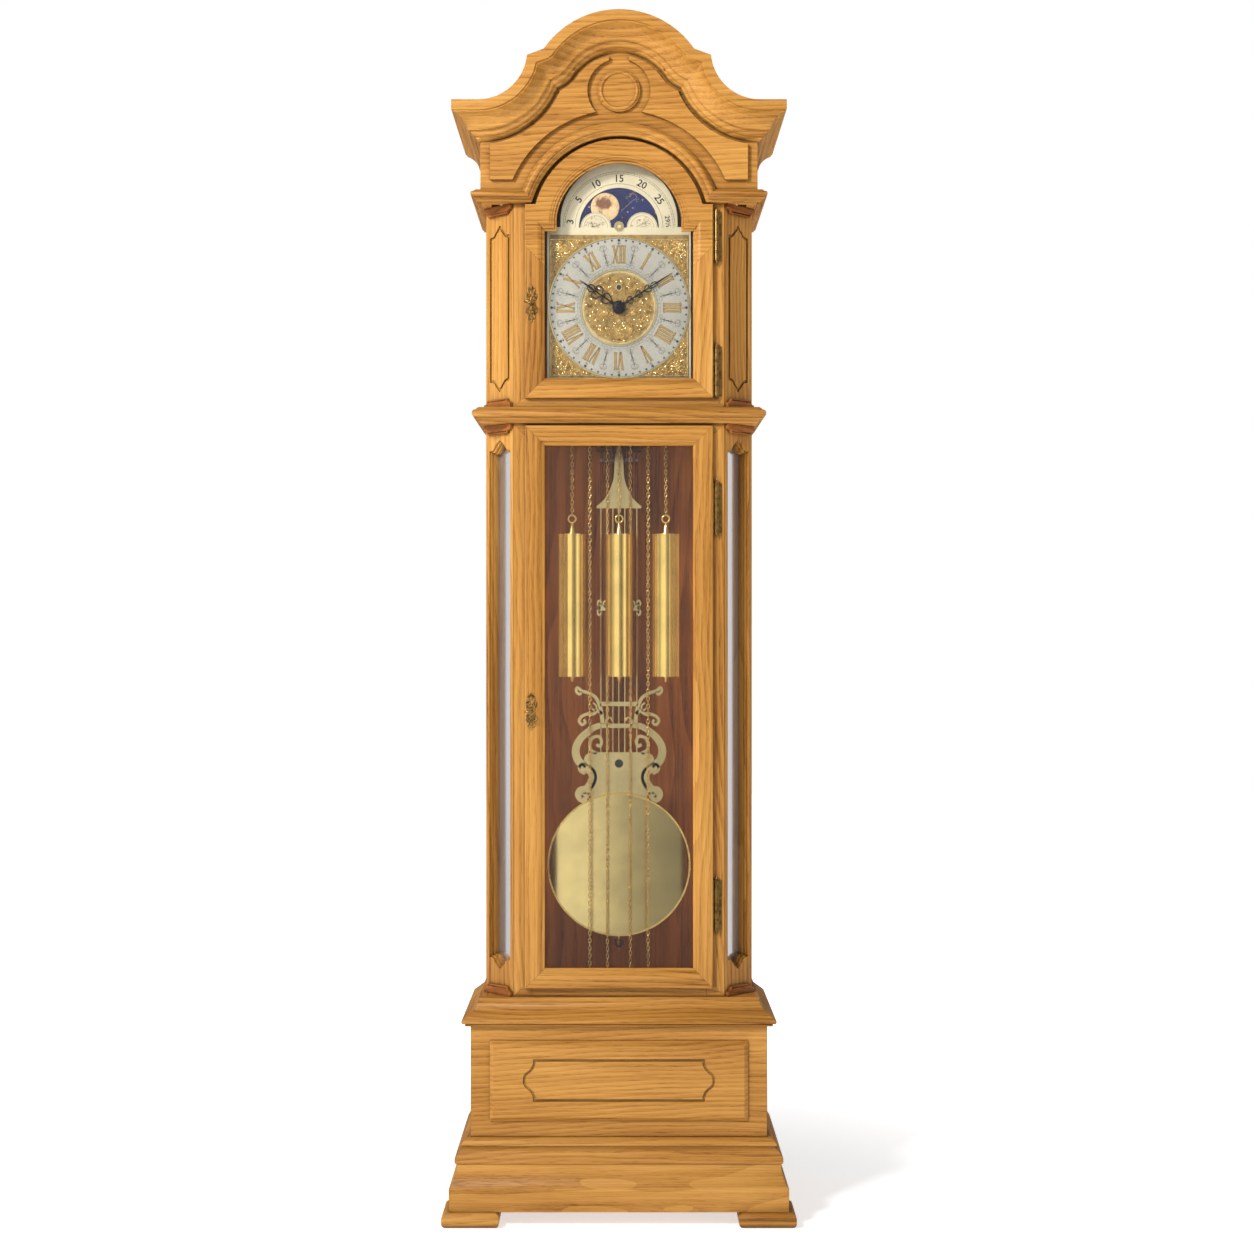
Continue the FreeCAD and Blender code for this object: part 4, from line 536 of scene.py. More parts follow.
def curl(x, z, start, end, first, last, count=10):
    """A spiral round (x, z) from radius start to radius end, between two angles in degrees."""
    path = []
    for step in range(count + 1):
        share = step / count
        radius = start + (end - start) * share
        angle = math.radians(first + (last - first) * share)
        path.append((x + radius * math.cos(angle), z + radius * math.sin(angle)))
    return path


def circle(x, z, radius, count=48):
    turns = [2 * math.pi * i / count for i in range(count)]
    return [(x + radius * math.cos(turn), z + radius * math.sin(turn)) for turn in turns]


def sleeve(rows, sides, closed=False):
    """Faces between rows of points, with the last row joined to the first or both ends capped."""
    faces = []
    for row in range(rows if closed else rows - 1):
        low, high = row * sides, (row + 1) % rows * sides
        for i in range(sides):
            j = (i + 1) % sides
            faces.append((low + i, low + j, high + j, high + i))
    if not closed:
        last = (rows - 1) * sides
        faces += [range(sides)[::-1], range(last, last + sides)]
    return faces


def block(x0, x1, z0, z1):
    """An upright rectangle as a front-view outline."""
    return [(x0, z0), (x1, z0), (x1, z1), (x0, z1)]


class Shape:
    """The points and faces of one piece, in millimetres in the row frame."""

    def __init__(self):
        self.points = []
        self.faces = []

    def add(self, points, faces):
        start = len(self.points)
        self.points += [tuple(point) for point in points]
        self.faces += [[start + i for i in face] for face in faces]

    def prism(self, outline, low, high):
        """A front-view outline made solid between two Y values."""
        count = len(outline)
        points = [(x, low, z) for x, z in outline] + [(x, high, z) for x, z in outline]
        faces = [list(range(count)), list(range(2 * count - 1, count - 1, -1))]
        faces += [(i, count + i, count + (i + 1) % count, (i + 1) % count) for i in range(count)]
        self.add(points, faces)

    def hoop(self, x, z, inner, outer, low, high, count=96):
        """A flat ring between two radii and two Y values."""
        rings = [[(px, y, pz) for px, pz in circle(x, z, radius, count)]
                 for radius, y in ((inner, low), (outer, low), (outer, high), (inner, high))]
        self.add(sum(rings, []), sleeve(4, count, closed=True))

    def ribbon(self, path, widths, front, back, crest=None):
        """A bar along a front-view path, of one width or a width for each point, with a raised crest."""
        if isinstance(widths, (int, float)):
            widths = [widths] * len(path)
        crest = front if crest is None else crest
        points = []
        for i, (x, z) in enumerate(path):
            ahead, behind = path[min(i + 1, len(path) - 1)], path[max(i - 1, 0)]
            along_x, along_z = ahead[0] - behind[0], ahead[1] - behind[1]
            long = math.hypot(along_x, along_z) or 1
            side_x, side_z = -along_z / long * widths[i] / 2, along_x / long * widths[i] / 2
            points += [(x + side_x, back, z + side_z), (x + side_x, front, z + side_z), (x, crest, z),
                       (x - side_x, front, z - side_z), (x - side_x, back, z - side_z)]
        self.add(points, sleeve(len(path), 5))

    def tube(self, path, radius, sides=6, closed=False):
        """A round bar along a path of (x, y, z) points."""
        path = [Vector(point) for point in path]
        count = len(path)
        points = []
        for i, point in enumerate(path):
            ahead = path[(i + 1) % count] if closed else path[min(i + 1, count - 1)]
            behind = path[i - 1] if closed else path[max(i - 1, 0)]
            way = (ahead - behind).normalized()
            first = way.orthogonal().normalized() if i == 0 else (first - way * first.dot(way)).normalized()
            second = way.cross(first)
            for side in range(sides):
                turn = 2 * math.pi * side / sides
                points.append(point + (first * math.cos(turn) + second * math.sin(turn)) * radius)
        self.add(points, sleeve(count, sides, closed))

    def turned(self, profile, x, z, sides=32):
        """A shape turned round the Y axis through (x, z); profile is (radius, y), front to back."""
        points = [(x + r * math.cos(2 * math.pi * i / sides), y, z + r * math.sin(2 * math.pi * i / sides))
                  for r, y in profile for i in range(sides)]
        self.add(points, sleeve(len(profile), sides))

    def placed(self, other, move):
        """Adds another shape, with each of its points moved by a function."""
        self.add([move(*point) for point in other.points], other.faces)

    def join(self, other):
        """Adds another shape where it is."""
        self.add(other.points, other.faces)


def make(name, shape, look, body, stands_for=(), smooth=False):
    mesh = bpy.data.meshes.new(name)
    mesh.from_pydata([tuple(c * MM for c in point) for point in shape.points], [], shape.faces)
    work = bmesh.new()
    work.from_mesh(mesh)
    bmesh.ops.recalc_face_normals(work, faces=work.faces)
    work.to_mesh(mesh)
    work.free()
    for polygon in mesh.polygons:
        polygon.use_smooth = smooth
    mesh.materials.append(look)
    item = bpy.data.objects.new(name, mesh)
    scene.collection.objects.link(item)
    if body:
        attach(item, body)
    if stands_for:
        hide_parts(*stands_for)
    return item


# ---------------------------------------------------------------- dial

def round_dial(turn):
    """Takes a shape drawn upright, from the dial's centre, to its place at a clockwise angle in degrees."""
    c, s = math.cos(math.radians(turn)), math.sin(math.radians(turn))
    return lambda u, y, v: (u * c + v * s, y, DIAL_Z - u * s + v * c)


def round_moon(turn, out=0):
    """The same about the moon dial's centre, for a shape drawn upright out millimetres above it."""
    c, s = math.cos(turn), math.sin(turn)
    return lambda u, y, v: (u * c + (v + out) * s, y, MOON_Z + (v + out) * c - u * s)


# the widths of the Roman letters
GLYPHS = {"I": 6.4, "V": 13.0, "X": 13.0}


def stroke(start, stop, width):
    """A straight stroke between two heights whose width is level, as a cut letter has it."""
    (x0, z0), (x1, z1) = start, stop
    return [(x0 - width / 2, z0), (x0 + width / 2, z0), (x1 + width / 2, z1), (x1 - width / 2, z1)]


def numeral(text, low, high, front, back, extra=0.0, squeeze=1.0):
    """A Roman numeral, upright, centred on x = 0. extra makes every stroke wider and longer."""
    shape = Shape()
    total = sum(GLYPHS[letter] for letter in text) * squeeze
    x = -total / 2
    bottom, top = low - extra / 2, high + extra / 2
    serif = 1.1 + extra
    for letter in text:
        width = GLYPHS[letter] * squeeze
        left, right, middle = x + 1.6 * squeeze, x + width - 1.6 * squeeze, x + width / 2
        thick, thin = 3.1 * squeeze + extra, 1.3 * squeeze + extra
        strokes = {
            "I": [((middle, bottom), (middle, top), thick)],
            "V": [((middle + 0.3, bottom), (left + 1, top), thick),
                  ((middle + 0.3, bottom), (right, top), thin)],
            "X": [((right - 0.6, bottom), (left + 0.6, top), thick),
                  ((left, bottom), (right, top), thin)],
        }[letter]
        for start, stop, wide in strokes:
            shape.prism(stroke(start, stop, wide), front, back)
        feet = {"I": [(middle, bottom), (middle, top)], "V": [(left + 1, top), (right, top)],
                "X": [(left, bottom), (right - 0.6, bottom), (left + 0.6, top), (right, top)]}[letter]
        for foot_x, foot_z in feet:
            half = (2.6 if letter == "I" else 2.1) * squeeze + extra / 2
            base = foot_z if foot_z < (low + high) / 2 else foot_z - serif
            shape.prism(block(foot_x - half, foot_x + half, base, base + serif), front - 0.02, back)
        x += width
    return shape


def words(text, height, front, back):
    """Plain figures, upright and centred on the origin."""
    data = bpy.data.curves.new("figures", "FONT")
    data.body = text
    data.size = 10
    data.offset = 0.16
    data.align_x = "CENTER"
    data.align_y = "CENTER"
    data.extrude = (back - front) / 2
    data.resolution_u = 3
    item = bpy.data.objects.new("figures", data)
    mesh = bpy.data.meshes.new_from_object(item)
    shape = Shape()
    middle = (front + back) / 2
    low, high = min(v.co.y for v in mesh.vertices), max(v.co.y for v in mesh.vertices)
    scale, centre = height / (high - low), (high + low) / 2
    shape.add([(v.co.x * scale, middle - v.co.z, (v.co.y - centre) * scale) for v in mesh.vertices],
              [list(p.vertices) for p in mesh.polygons])
    bpy.data.objects.remove(item)
    bpy.data.meshes.remove(mesh)
    return shape


def make_numerals():
    gold, edge = Shape(), Shape()
    low, high, outline = 77, 107, 1.1
    hours = ["XII", "I", "II", "III", "IIII", "V", "VI", "VII", "VIII", "IX", "X", "XI"]
    for number, text in enumerate(hours):
        squeeze = 0.82 if text == "VIII" else 0.92
        place = round_dial(30 * number)
        gold.placed(numeral(text, low, high, RING_Y - 0.5, RING_Y + 0.2, 0, squeeze), place)
        # painted shade: a dark rim, a little wider than each gold numeral, stands for the numeral's shaded
        # sides
        edge.placed(numeral(text, low, high, RING_Y - 0.2, RING_Y + 0.2, outline, squeeze), place)
    make("numerals", gold, looks["numeral_gold"], "case")
    make("numeral_shade_rims", edge, looks["numeral_shade_rim"], "case")


def make_minute_track():
    ink = Shape()
    front, back = RING_Y - 0.12, RING_Y + 0.2
    for inner, outer in ((67.2, 67.8), (71.4, 71.8), (119.3, 119.8)):
        ink.hoop(0, DIAL_Z, inner, outer, front, back)
    for minute in range(60):
        place = round_dial(6 * minute)
        if minute % 5:
            dot = Shape()
            dot.prism(circle(0, 116.4, 1.8, 8), front, back)
            ink.placed(dot, place)
        else:
            mark = Shape()
            mark.prism([(0, 113.2), (3.0, 116.4), (0, 119.2), (-3.0, 116.4)], front, back)
            ink.placed(mark, place)
            figures = words(str(minute or 60), 3.6, front, back)
            ink.placed(figures, lambda u, y, v: place(u, y, v + 111.4))
        tick = Shape()
        tick.prism(block(-0.25, 0.25, 67.6, 71.5), front, back)
        ink.placed(tick, place)
    for hour in range(12):
        ink.placed(half_hour(front, back), round_dial(30 * hour + 15))
    make("dial_printing", ink, looks["ink"], "case")


def half_hour(front, back):
    """The small scrolled ornament between two hours, upright."""
    shape = Shape()
    line = 0.62
    strokes = (
        curl(2.6, 108, 2.6, 0.8, 200, -140, 8),
        [(0.6, 98), (2.6, 101), (5.4, 103), (6.2, 106), (4.6, 107.6)],
        curl(2.4, 93.5, 2.2, 0.7, 120, 470, 8),
        [(0.4, 74), (2.4, 76), (4.6, 76.4), (6.6, 74.4), (7.2, 72)],
        curl(2.3, 80.2, 2.2, 0.7, 240, -110, 8),
    )
    for side in (-1, 1):
        for path in strokes:
            shape.ribbon(flipped(path, side), line, front, back)
    shape.ribbon([(0, 73), (0, 86), (0, 99)], [0.5, 1.3, 0.4], front, back)
    for z, radius in ((88.4, 1.5), (101.5, 1.2), (104.6, 0.9), (84.6, 0.9)):
        shape.prism(circle(0, z, radius, 10), front, back)
    return shape


def leaf(x, z, turn, long, wide, front, back, bend=0.3):
    """A pointed, ridged leaf from (x, z) in a direction in degrees."""
    shape = Shape()
    path, widths = [], []
    for step in range(6):
        share = step / 5
        angle = math.radians(turn + bend * 60 * share)
        path.append((x + long * share * math.cos(angle), z + long * share * math.sin(angle)))
        widths.append(wide * (0.35 + 1.3 * math.sin(math.pi * (0.12 + 0.84 * share))) / 1.6)
    shape.ribbon(path, widths, back - 0.25, back, front)
    return shape


def relief_field(shape, pick, count, rng, front, back):
    """Crowded leaves, scrolls and buds at the places that pick(rng) gives, each with its mirror image."""
    for _ in range(count):
        x, z = pick(rng)
        kind = rng.random()
        turn = rng.uniform(0, 360)
        peak = front + rng.uniform(0.0, 0.7)
        piece = Shape()
        if kind < 0.5:
            piece = leaf(x, z, turn, rng.uniform(4.5, 8), rng.uniform(1.8, 2.8), peak, back,
                         rng.uniform(-1, 1))
        elif kind < 0.8:
            size = rng.uniform(1.8, 3.4)
            path = curl(x, z, size, size * 0.25, turn, turn + rng.choice((-400, 400)), 14)
            piece.ribbon(path, 1.1, back - 0.4, back, peak)
        else:
            radius = rng.uniform(0.8, 1.7)
            piece.turned([(0.05, peak), (radius * 0.7, peak + 0.3), (radius, back)], x, z, 8)
        shape.join(piece)
        shape.placed(piece, lambda px, y, pz: (-px, y, pz))


def in_the_centre(rng):
    """A place on the right half of the dial's centre, clear of the winding hole and the hands."""
    while True:
        x, z = rng.uniform(0, 58), rng.uniform(-58, 58)
        if math.hypot(x, z) < 58 and math.hypot(x, z - WINDING_HOLE) > 7 and math.hypot(x, z) > 11:
            return x, DIAL_Z + z


def in_a_corner(rng):
    """A place in one of the right-hand corners, outside the chapter ring."""
    while True:
        x, z = rng.uniform(20, 115), rng.choice((-1, 1)) * rng.uniform(40, 116)
        if math.hypot(x, z) > 126:
            return x, DIAL_Z + z


ROSETTES = ((0, -40, 8), (0, -22, 6), (24, -8, 7), (38, 12, 6), (28, 32, 6), (20, -36, 6), (40, -22, 5))


def make_rosettes(relief, front, back):
    """The larger flowers of the dial's centre."""
    for x, up, size in ROSETTES:
        z = DIAL_Z + up
        for side in ((1,) if x == 0 else (1, -1)):
            for petal in range(6):
                relief.join(leaf(side * x, z, 60 * petal, size, size * 0.62, front - 0.2, back, 0.1))
            bud = [(0.05, front - 0.5), (size * 0.16, front - 0.3), (size * 0.26, back)]
            relief.turned(bud, side * x, z, 12)


def make_corners(relief, back):
    """One flower and two straight edges in each corner of the dial."""
    flower, border, border_start = 104, 118.3, 40
    for side in (-1, 1):
        for up in (-1, 1):
            for petal in range(5):
                relief.join(leaf(side * flower, DIAL_Z + up * flower, 72 * petal + 90, 8, 4.6,
                                 -75.7, back, 0.1))
            relief.turned([(0.05, -76.0), (1.6, -75.7), (2.4, back)], side * flower,
                          DIAL_Z + up * flower, 12)
            upright = (side * border, DIAL_Z + up * border_start)
            corner = (side * border, DIAL_Z + up * 118)
            level = (side * border_start, DIAL_Z + up * 118)
            for start, stop in ((upright, corner), (corner, level)):
                relief.ribbon([start, stop], 1.6, -74.2, back, -74.8)


def make_relief():
    rng = random.Random(12)
    relief = Shape()
    front, back, corner_back = -75.5, -73.0, -73.4
    relief_field(relief, in_the_centre, 150, rng, front, back)
    make_rosettes(relief, front, back)
    relief.hoop(0, DIAL_Z, 60.2, 63.2, -74.0, -72.6)
    relief.hoop(0, DIAL_Z, 58.6, 59.4, -74.2, -72.8)
    relief.hoop(0, DIAL_Z + WINDING_HOLE, 4.2, 5.8, -75.0, -72.8, 24)
    relief_field(relief, in_a_corner, 420, rng, -75.3, corner_back)
    make_corners(relief, corner_back)
    make("dial_ornament", relief, looks["ornament"], "case")
    # painted shade: a black disc stands for the dark inside of the winding hole
    hole = Shape()
    hole.prism(circle(0, DIAL_Z + WINDING_HOLE, 4.2, 24), -73.9, -73.0)
    make("winding_hole_shade", hole, looks["ink"], "case")
    rims = Shape()
    rims.hoop(0, DIAL_Z, 120.3, 122.4, -74.2, -71.9)
    rims.hoop(0, DIAL_Z, 64.6, 66.2, -74.2, -71.9)
    make("ring_rims", rims, looks["satin_brass"], "case")


MOON_FIGURES = (("29½", 83), ("25", 55), ("20", 28), ("15", 0), ("10", -28), ("5", -55), ("3", -83))


def half_ring(shape, inner, outer, front, back):
    """A flat half ring over the moon dial's centre, in short blocks."""
    arc = circle(0, 0, 1, 96)
    for start, stop in zip(arc[:48], arc[1:49]):
        corners = ((inner, start), (outer, start), (outer, stop), (inner, stop))
        shape.prism([(reach * x, MOON_Z + reach * z) for reach, (x, z) in corners], front, back)


def make_moon_arch():
    """The printed scale of the moon's age and the engraving on the humps."""
    ink, gold = Shape(), Shape()
    front, back = PLATE_Y - 0.15, PLATE_Y + 0.2
    for inner, outer in ((75.6, 76.1), (93.4, 93.8), (96.6, 97.0)):
        half_ring(ink, inner, outer, front, back)
    for mark in range(60):
        long = 3.2 if mark % 2 else 1.6
        tick = Shape()
        tick.prism(block(-0.22, 0.22, 96.8 - long, 96.8), front, back)
        ink.placed(tick, round_moon(math.radians(174 * mark / 59 - 87)))
    for text, degrees in MOON_FIGURES:
        figures = words(text, 12.5 if len(text) < 3 else 8.5, front, back)
        ink.placed(figures, round_moon(math.radians(degrees), 85))
    make("moon_scale", ink, looks["ink"], "case")
    gold.hoop(0, MOON_Z + 2, 3.2, 8.6, PLATE_Y - 1.4, PLATE_Y + 0.4, 32)
    make("moon_boss", gold, looks["satin_brass"], "case")
    make_hump_engraving(front, back)


def make_hump_engraving(front, back):
    rng = random.Random(5)
    engraving = Shape()
    for side in (-1, 1):
        x = side * HUMP_X
        for inner in (20.6, 25.2):
            arc = [p for p in circle(x, MOON_Z, inner, 64) if p[1] > MOON_Z - 0.5]
            arc.sort(key=lambda p: p[0])
            engraving.ribbon(arc, 0.5, front, back)
        for _ in range(46):
            radius, angle = rng.uniform(2, 18), math.radians(rng.uniform(8, 172))
            cx, cz = x + radius * math.cos(angle), MOON_Z + radius * math.sin(angle)
            size = rng.uniform(1.0, 2.4)
            turn = rng.uniform(0, 360)
            path = [p for p in curl(cx, cz, size, size * 0.4, turn, turn + 260, 8) if p[1] > MOON_Z + 0.4]
            if len(path) > 2:
                engraving.ribbon(path, 0.42, front, back)
    make("hump_engraving", engraving, looks["engraved_line"], "case")


def star(x, z, size):
    """A five-pointed star as a front-view outline."""
    points = []
    for i in range(10):
        reach = size * (1.0 if i % 2 == 0 else 0.5)
        points.append((x + reach * math.cos(0.2 * math.pi * i), z + reach * math.sin(0.2 * math.pi * i)))
    return points


def make_moon_sky():
    """Two moons opposite each other on the disc, with stars and a gilt constellation between them."""
    rng = random.Random(8)
    moon_x, moon_z, moon_clear = 24, 36, 27
    back = MOON_FACE_Y + 0.1
    moons, stars = Shape(), Shape()
    profile = [(0.05, MOON_FACE_Y - 0.42), (18, MOON_FACE_Y - 0.38), (24, MOON_FACE_Y - 0.2), (25, back)]
    for side in (1, -1):
        moons.turned(profile, -moon_x * side, MOON_Z + moon_z * side, 48)
    for _ in range(74):
        radius, angle = rng.uniform(12, 69), rng.uniform(0, 2 * math.pi)
        x, z = radius * math.cos(angle), radius * math.sin(angle)
        if min(math.hypot(x + moon_x, z - moon_z), math.hypot(x - moon_x, z + moon_z)) < moon_clear:
            continue
        size = rng.choice((0.6, 0.8, 1.1, 1.9))
        stars.prism(star(x, MOON_Z + z, size), MOON_FACE_Y - 0.25, back)
    for way in (1, -1):
        line = spline([(4, 30), (14, 38), (22, 46), (30, 52), (28, 58), (18, 60)])
        stars.ribbon([(way * x, MOON_Z + way * z) for x, z in line], 0.45, MOON_FACE_Y - 0.2, back)
        for cx, cz in ((20, 55), (26, 60), (14, 52), (32, 47)):
            tuft = curl(cx, cz, 3.4, 1.0, 30, 330, 10)
            stars.ribbon([(way * x, MOON_Z + way * z) for x, z in tuft], 0.4, MOON_FACE_Y - 0.2, back)
    make("moon_faces", moons, looks["moon_face"], "moon_disc", smooth=True)
    make("moon_stars", stars, looks["numeral_gold"], "moon_disc")


# each hand: its length, clockwise angle, front Y, how wide its scrolls are, the width of its spear
HANDS = {"hour_hand": (82.7, 304.8, -78.2, 1.0, 4.0), "minute_hand": (109.5, 57.3, -81.7, 0.8, 3.2)}
HOUR_SCROLLS = (
    ([(1.4, 10), (2.2, 17), (7.5, 23), (8.6, 30), (4.6, 34), (2.4, 30.5)], 1.9),
    ([(1.0, 33), (4.6, 38), (10.5, 42), (11.2, 49), (6.4, 52.6), (3.6, 48.6), (5.4, 45.6)], 1.9),
    ([(0.9, 48), (3.8, 54), (6.2, 58), (4.2, 63), (0.8, 65)], 1.7),
)
MINUTE_SCROLLS = tuple(
    ([(1.0, low), (3.2, low + 4), (6.8, low + 7), (6.6, low + 12), (3.4, low + 13.6), (2.4, low + 10.6)], 1.7)
    for low in (14, 32, 50)
) + (([(0.9, 64), (4.2, 68), (5.0, 73), (2.6, 77), (0.7, 79)], 1.6),)
# pipes behind the hands: outer and inner radius, front and back Y
PIPES = {"hour_hand": (4.2, 3.2, -77, -58), "minute_hand": (2.8, 0.1, -81, -43)}


def make_hands():
    """The pierced, blued hands, drawn upright and then turned to the time."""
    for name, (length, turn, front, swell, wide) in HANDS.items():
        shape = Shape()
        back, crest = front + 1.2, front - 0.25
        spear = length * 0.66
        for side in (-1, 1):
            for path, width in HOUR_SCROLLS if name == "hour_hand" else MINUTE_SCROLLS:
                bent = spline([(side * x * swell, z) for x, z in path])
                shape.ribbon(bent, width, front, back, crest)
        shape.ribbon(spline([(0, 5), (0, 20), (0, spear), (0, length)]),
                     [3.4 - 2.6 * i / 18 for i in range(19)], front, back, crest)
        shape.ribbon([(0, spear - 2), (0, spear + 5), (0, length)], [1.2, wide, 0.5], front, back, crest)
        shape.turned([(4.4, front - 0.5), (11.2, front - 0.4), (11.6, front + 0.4), (11.2, back)], 0, 0, 40)
        if name == "minute_hand":
            knob = [(2.6, -87.7), (3.2, -87.3), (4.4, -86.2), (9.4, -85.2), (10.8, -84.2),
                    (10.8, -81.9), (2.8, -81.6)]
            shape.turned(knob, 0, 0, 36)
        whole = Shape()
        whole.placed(shape, round_dial(turn))
        outer, inner, near, far = PIPES[name]
        whole.turned([(inner, near), (outer, near), (outer, far), (inner, far)], 0, DIAL_Z, 20)
        make(name + "_blued", whole, looks["black_steel"], name, stands_for=(name,))


# ---------------------------------------------------------------- chains, lyre, locks

def link(shape, centre, way, sideways):
    """One oval link of wire whose length lies along way."""
    way = way.normalized()
    side = Vector((1, 0, 0)) if abs(way.x) < 0.9 else Vector((0, 0, 1))
    side = (side - way * side.dot(way)).normalized()
    if not sideways:
        side = way.cross(side)
    corners, half_wide, half_end, half_side, wire = 12, 2.15, 2.1, 2.0, 0.8
    path = []
    for step in range(corners):
        turn = 2 * math.pi * (step + 0.5) / corners
        straight = math.copysign(half_side, math.sin(turn))
        path.append(centre + side * half_wide * math.cos(turn) + way * (half_end * math.sin(turn) + straight))
    shape.tube(path, wire, 6, closed=True)


def chain_along(shape, path):
    """Links, each turned a quarter from the one before, along a path of (x, y, z) points."""
    path = [Vector(point) for point in path]
    pitch, half_link = 6.6, 4.7
    spans = [(b - a).length for a, b in zip(path, path[1:])]
    count = int((sum(spans) - 8) / pitch)
    step = (sum(spans) - 2 * half_link) / count
    for number in range(count + 1):
        reach = half_link + number * step
        index = 0
        while index < len(spans) - 1 and reach > spans[index]:
            reach -= spans[index]
            index += 1
        way = path[index + 1] - path[index]
        link(shape, path[index] + way.normalized() * reach, way, number % 2 == 0)


def going_loop():
    """The slack chain's path: down behind the weight, round the bend and up to the seat board."""
    x, slope_top, slope_low, seat = LOOP_X, 1418, 1335, 1420
    left = [(-x, CHAIN_Y, CHAIN_TOP), (-x, CHAIN_Y, slope_top), (-x, LOOP_Y, slope_low),
            (-x, LOOP_Y, LOOP_BEND)]
    right = [(x, LOOP_Y, LOOP_BEND), (x, LOOP_Y, slope_low), (x, CHAIN_Y, slope_top), (x, CHAIN_Y, seat)]
    turns = [math.radians(angle) for angle in range(190, 360, 10)]
    bend = [(x * math.cos(turn), LOOP_Y, LOOP_BEND + x * math.sin(turn)) for turn in turns]
    return left + bend + right


def make_pull_chain(train, x):
    """The chain that a weight hangs on, which lengthens as the weight drops."""
    pull = Shape()
    chain_along(pull, [(x, CHAIN_Y, CHAIN_TOP), (x, CHAIN_Y, PULL_END)])
    item = make(train + "_pull_links", pull, looks["chain_brass"], None,
                (train + "_weight_chain",), smooth=True)
    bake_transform(item)


def make_free_chain(train, x):
    """The loose end of a chain, which gathers as its weight drops."""
    free = Shape()
    if train == "going":
        chain_along(free, going_loop())
    else:
        chain_along(free, [(x, CHAIN_Y, CHAIN_TOP), (x, CHAIN_Y, FREE_END)])
        ring = [(px, CHAIN_Y, pz) for px, pz in circle(x, FREE_END - 5, 7, 24)]
        free.tube(ring, 1.5, 8, closed=True)
    item = make(train + "_free_links", free, looks["chain_brass"], "case",
                (train + "_free_chain",), smooth=True)
    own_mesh(item)


def make_chains():
    for train, (weight_x, free_x) in CHAINS.items():
        make_pull_chain(train, weight_x)
        make_free_chain(train, free_x)


# the lyre's right-hand bars: a path, the width at its start and how much it narrows at each point
LYRE_BARS = (
    ([(29, 840), (31, 858), (34, 872), (42, 888), (56, 896), (66, 899), (74, 905), (76, 898), (70, 893),
      (66, 898)], 7, 0.06),
    ([(30, 858), (38, 864), (46, 858), (56, 858), (66, 854), (71, 846), (66, 839), (60, 843), (63, 848)],
     6.4, 0.05),
    ([(46, 878), (40, 872), (42, 864), (48, 868)], 3.2, 0),
)
LYRE_SIDE = [(33, 838), (44, 834), (56, 826), (70, 812), (77, 795), (74, 778), (62, 764), (50, 756),
             (46.5, 745), (50, 734), (58, 724), (68, 722), (72, 714), (66, 706), (60, 711), (64, 716)]
LYRE_SCROLLS = (
    ([(60, 752), (68, 756), (71, 763), (65, 769), (60, 763)], 5.0, 0),
    ([(40, 788), (50, 794), (52, 806), (46, 816), (36, 818), (31, 810), (34, 801), (40, 804)], 5.6, 0),
    ([(20, 836), (24, 846), (16, 852), (12, 846)], 2.8, 0),
)
LYRE_BODY = [(44, 700), (50, 712), (50, 728), (44, 745), (50, 760), (62, 772), (58, 786), (40, 790)]
STRAP_SCROLLS = (
    ([(33, 0), (38, 6), (36, 13), (31, 9)], 3),
    ([(33, 0), (38, -6), (36, -13), (31, -9)], 3),
    ([(24, 0), (28, 8), (24, 13)], 2.6),
)


def add_bars(shape, bars, side):
    for path, wide, taper in bars:
        bent = flipped(path, side, 5)
        shape.ribbon(bent, [wide - taper * i for i in range(len(bent))], LYRE_FRONT, LYRE_BACK)


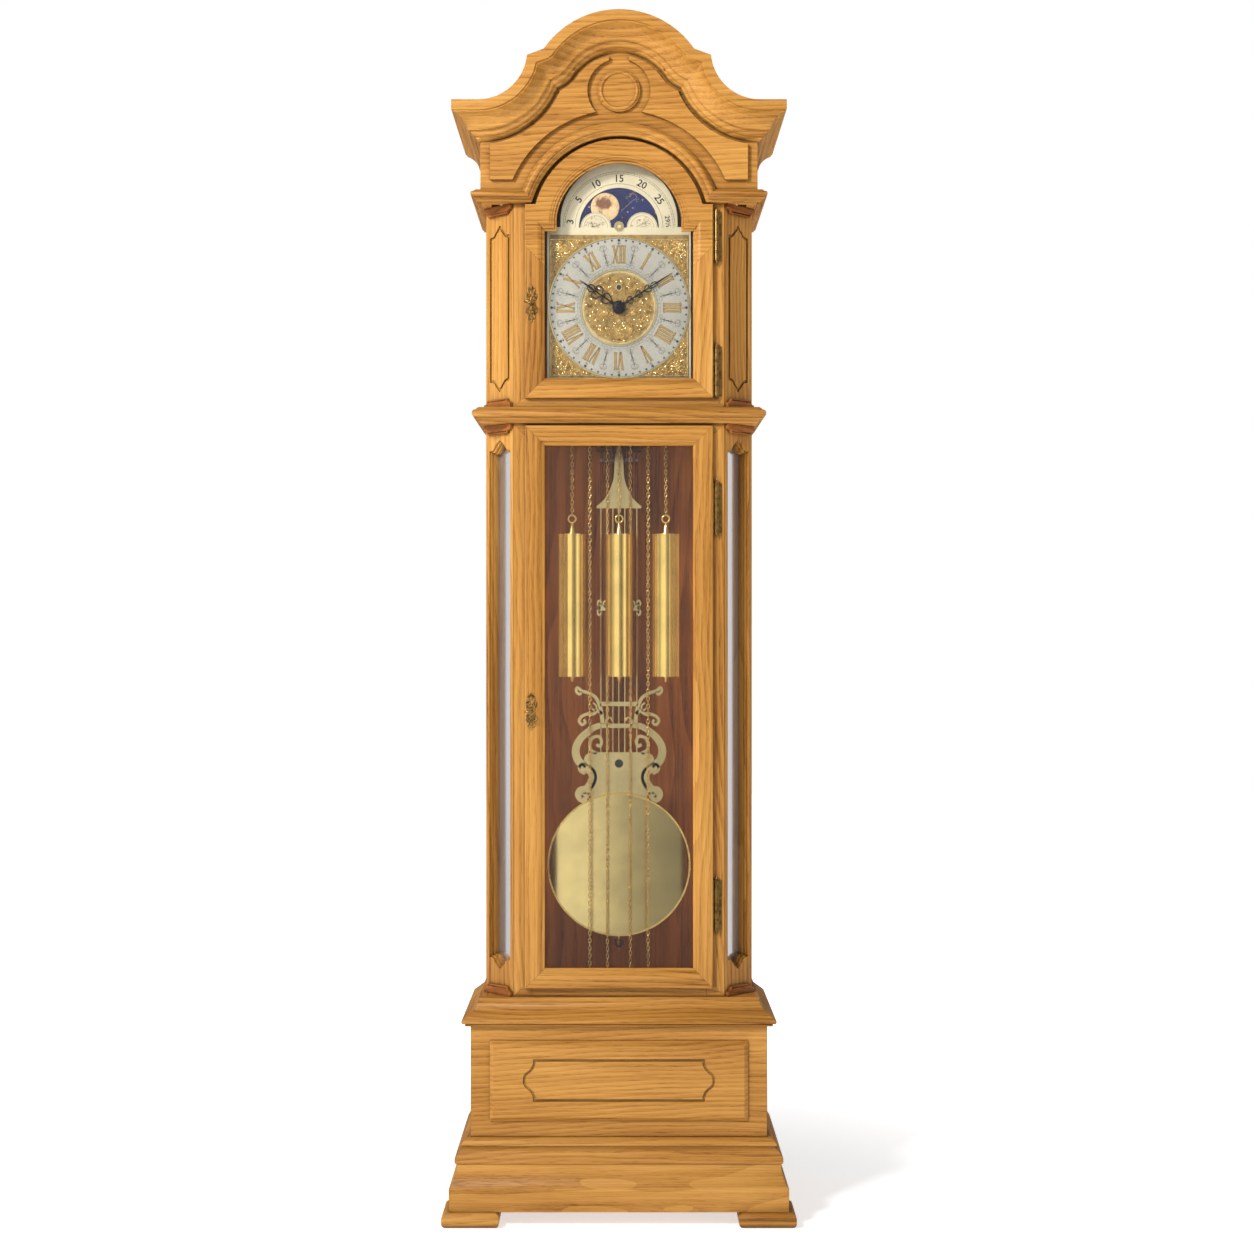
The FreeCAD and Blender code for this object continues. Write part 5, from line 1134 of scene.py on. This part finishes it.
def make_lyre():
    shape = Shape()
    for side in (-1, 1):
        add_bars(shape, LYRE_BARS, side)
        bent = flipped(LYRE_SIDE, side, 5)
        swelling = [10 + 5 * math.sin(math.pi * i / (len(bent) - 1)) for i in range(len(bent))]
        shape.ribbon(bent, swelling, LYRE_FRONT, LYRE_BACK)
        add_bars(shape, LYRE_SCROLLS, side)
    outline = spline(LYRE_BODY, 5)
    shape.prism(outline + [(-x, z) for x, z in reversed(outline)], LYRE_FRONT, LYRE_BACK)
    for half, low in ((33, 833), (34, 872)):
        shape.prism(block(-half, half, low, low + 8), LYRE_FRONT, LYRE_BACK)
    # painted shade: a black disc on the lyre's front stands for the dark opening at its middle
    hole = Shape()
    hole.prism(circle(0, 770, 7.5, 32), LYRE_FRONT - 0.15, LYRE_FRONT + 0.2)
    make("lyre_hole_shade", hole, looks["ink"], "pendulum")
    make("lyre_scrolls", shape, looks["satin_brass"], "pendulum", ("pendulum_lyre",))
    strap = Shape()
    for side in (-1, 1):
        for path, wide in STRAP_SCROLLS:
            strap.ribbon(flipped([(x, STRAP_Z + z) for x, z in path], side), wide, LYRE_FRONT, LYRE_BACK)
    make("strap_scrolls", strap, looks["satin_brass"], "pendulum")


def make_post_caps():
    """The tops of the hood's canted posts, which close the joint below the arch moulding."""
    low, high = 1733, 1740
    caps = Shape()
    for side in (-1, 1):
        plan = [(side * x, y) for x, y in ((181, -96.5), (230.5, -47), (230.5, -30), (181, -30))]
        cap = Shape()
        cap.prism(plan, -high, -low)
        caps.placed(cap, lambda x, y, z: (x, z, -y))
    make("post_caps", caps, looks["oak"], "case")


def make_bob_rim():
    """The bright turned edge round the pendulum's bob."""
    rim = Shape()
    rim.hoop(0, BOB_Z, BOB_RADIUS - 3, BOB_RADIUS, 22.2, 23.4)
    make("bob_rim", rim, looks["chain_brass"], "pendulum")


LEAF_SCROLLS = (
    ([(2.6, 4), (7.4, 8), (8.8, 14), (4.6, 17), (2.6, 13.6), (5, 11.6)], 2.3),
    ([(1.0, 15), (4.6, 20), (5.6, 24), (2.6, 26.4), (1.2, 24)], 2.0),
)


def make_locks():
    """Cast, pierced lock plates on the doors."""
    front, crest = DOOR_Y - 1.5, DOOR_Y - 2.3
    for door, height in LOCKS.items():
        shape = Shape()
        for up in (-1, 1):
            for side in (-1, 1):
                for path, wide in LEAF_SCROLLS:
                    bent = spline([(LOCK_X + side * u, height + up * v) for u, v in path], 4)
                    shape.ribbon(bent, wide, front, DOOR_Y, crest)
            stem = [(LOCK_X, height + up * reach) for reach in (4, 22, 31)]
            shape.ribbon(stem, [2.6, 1.8, 3.2], front, DOOR_Y, crest)
        shape.hoop(LOCK_X, height, 2.5, 6.6, front - 0.5, DOOR_Y, 24)
        make(door + "_lock_plate", shape, looks["aged_brass"], door, (door + "_escutcheon",))


def make_details():
    make_numerals()
    make_minute_track()
    make_relief()
    make_moon_arch()
    make_moon_sky()
    make_hands()
    make_chains()
    make_lyre()
    make_post_caps()
    make_bob_rim()
    make_locks()


# ---------------------------------------------------------------- scene

add_camera()
add_lights()
add_floor()
paint_nodes()
make_details()
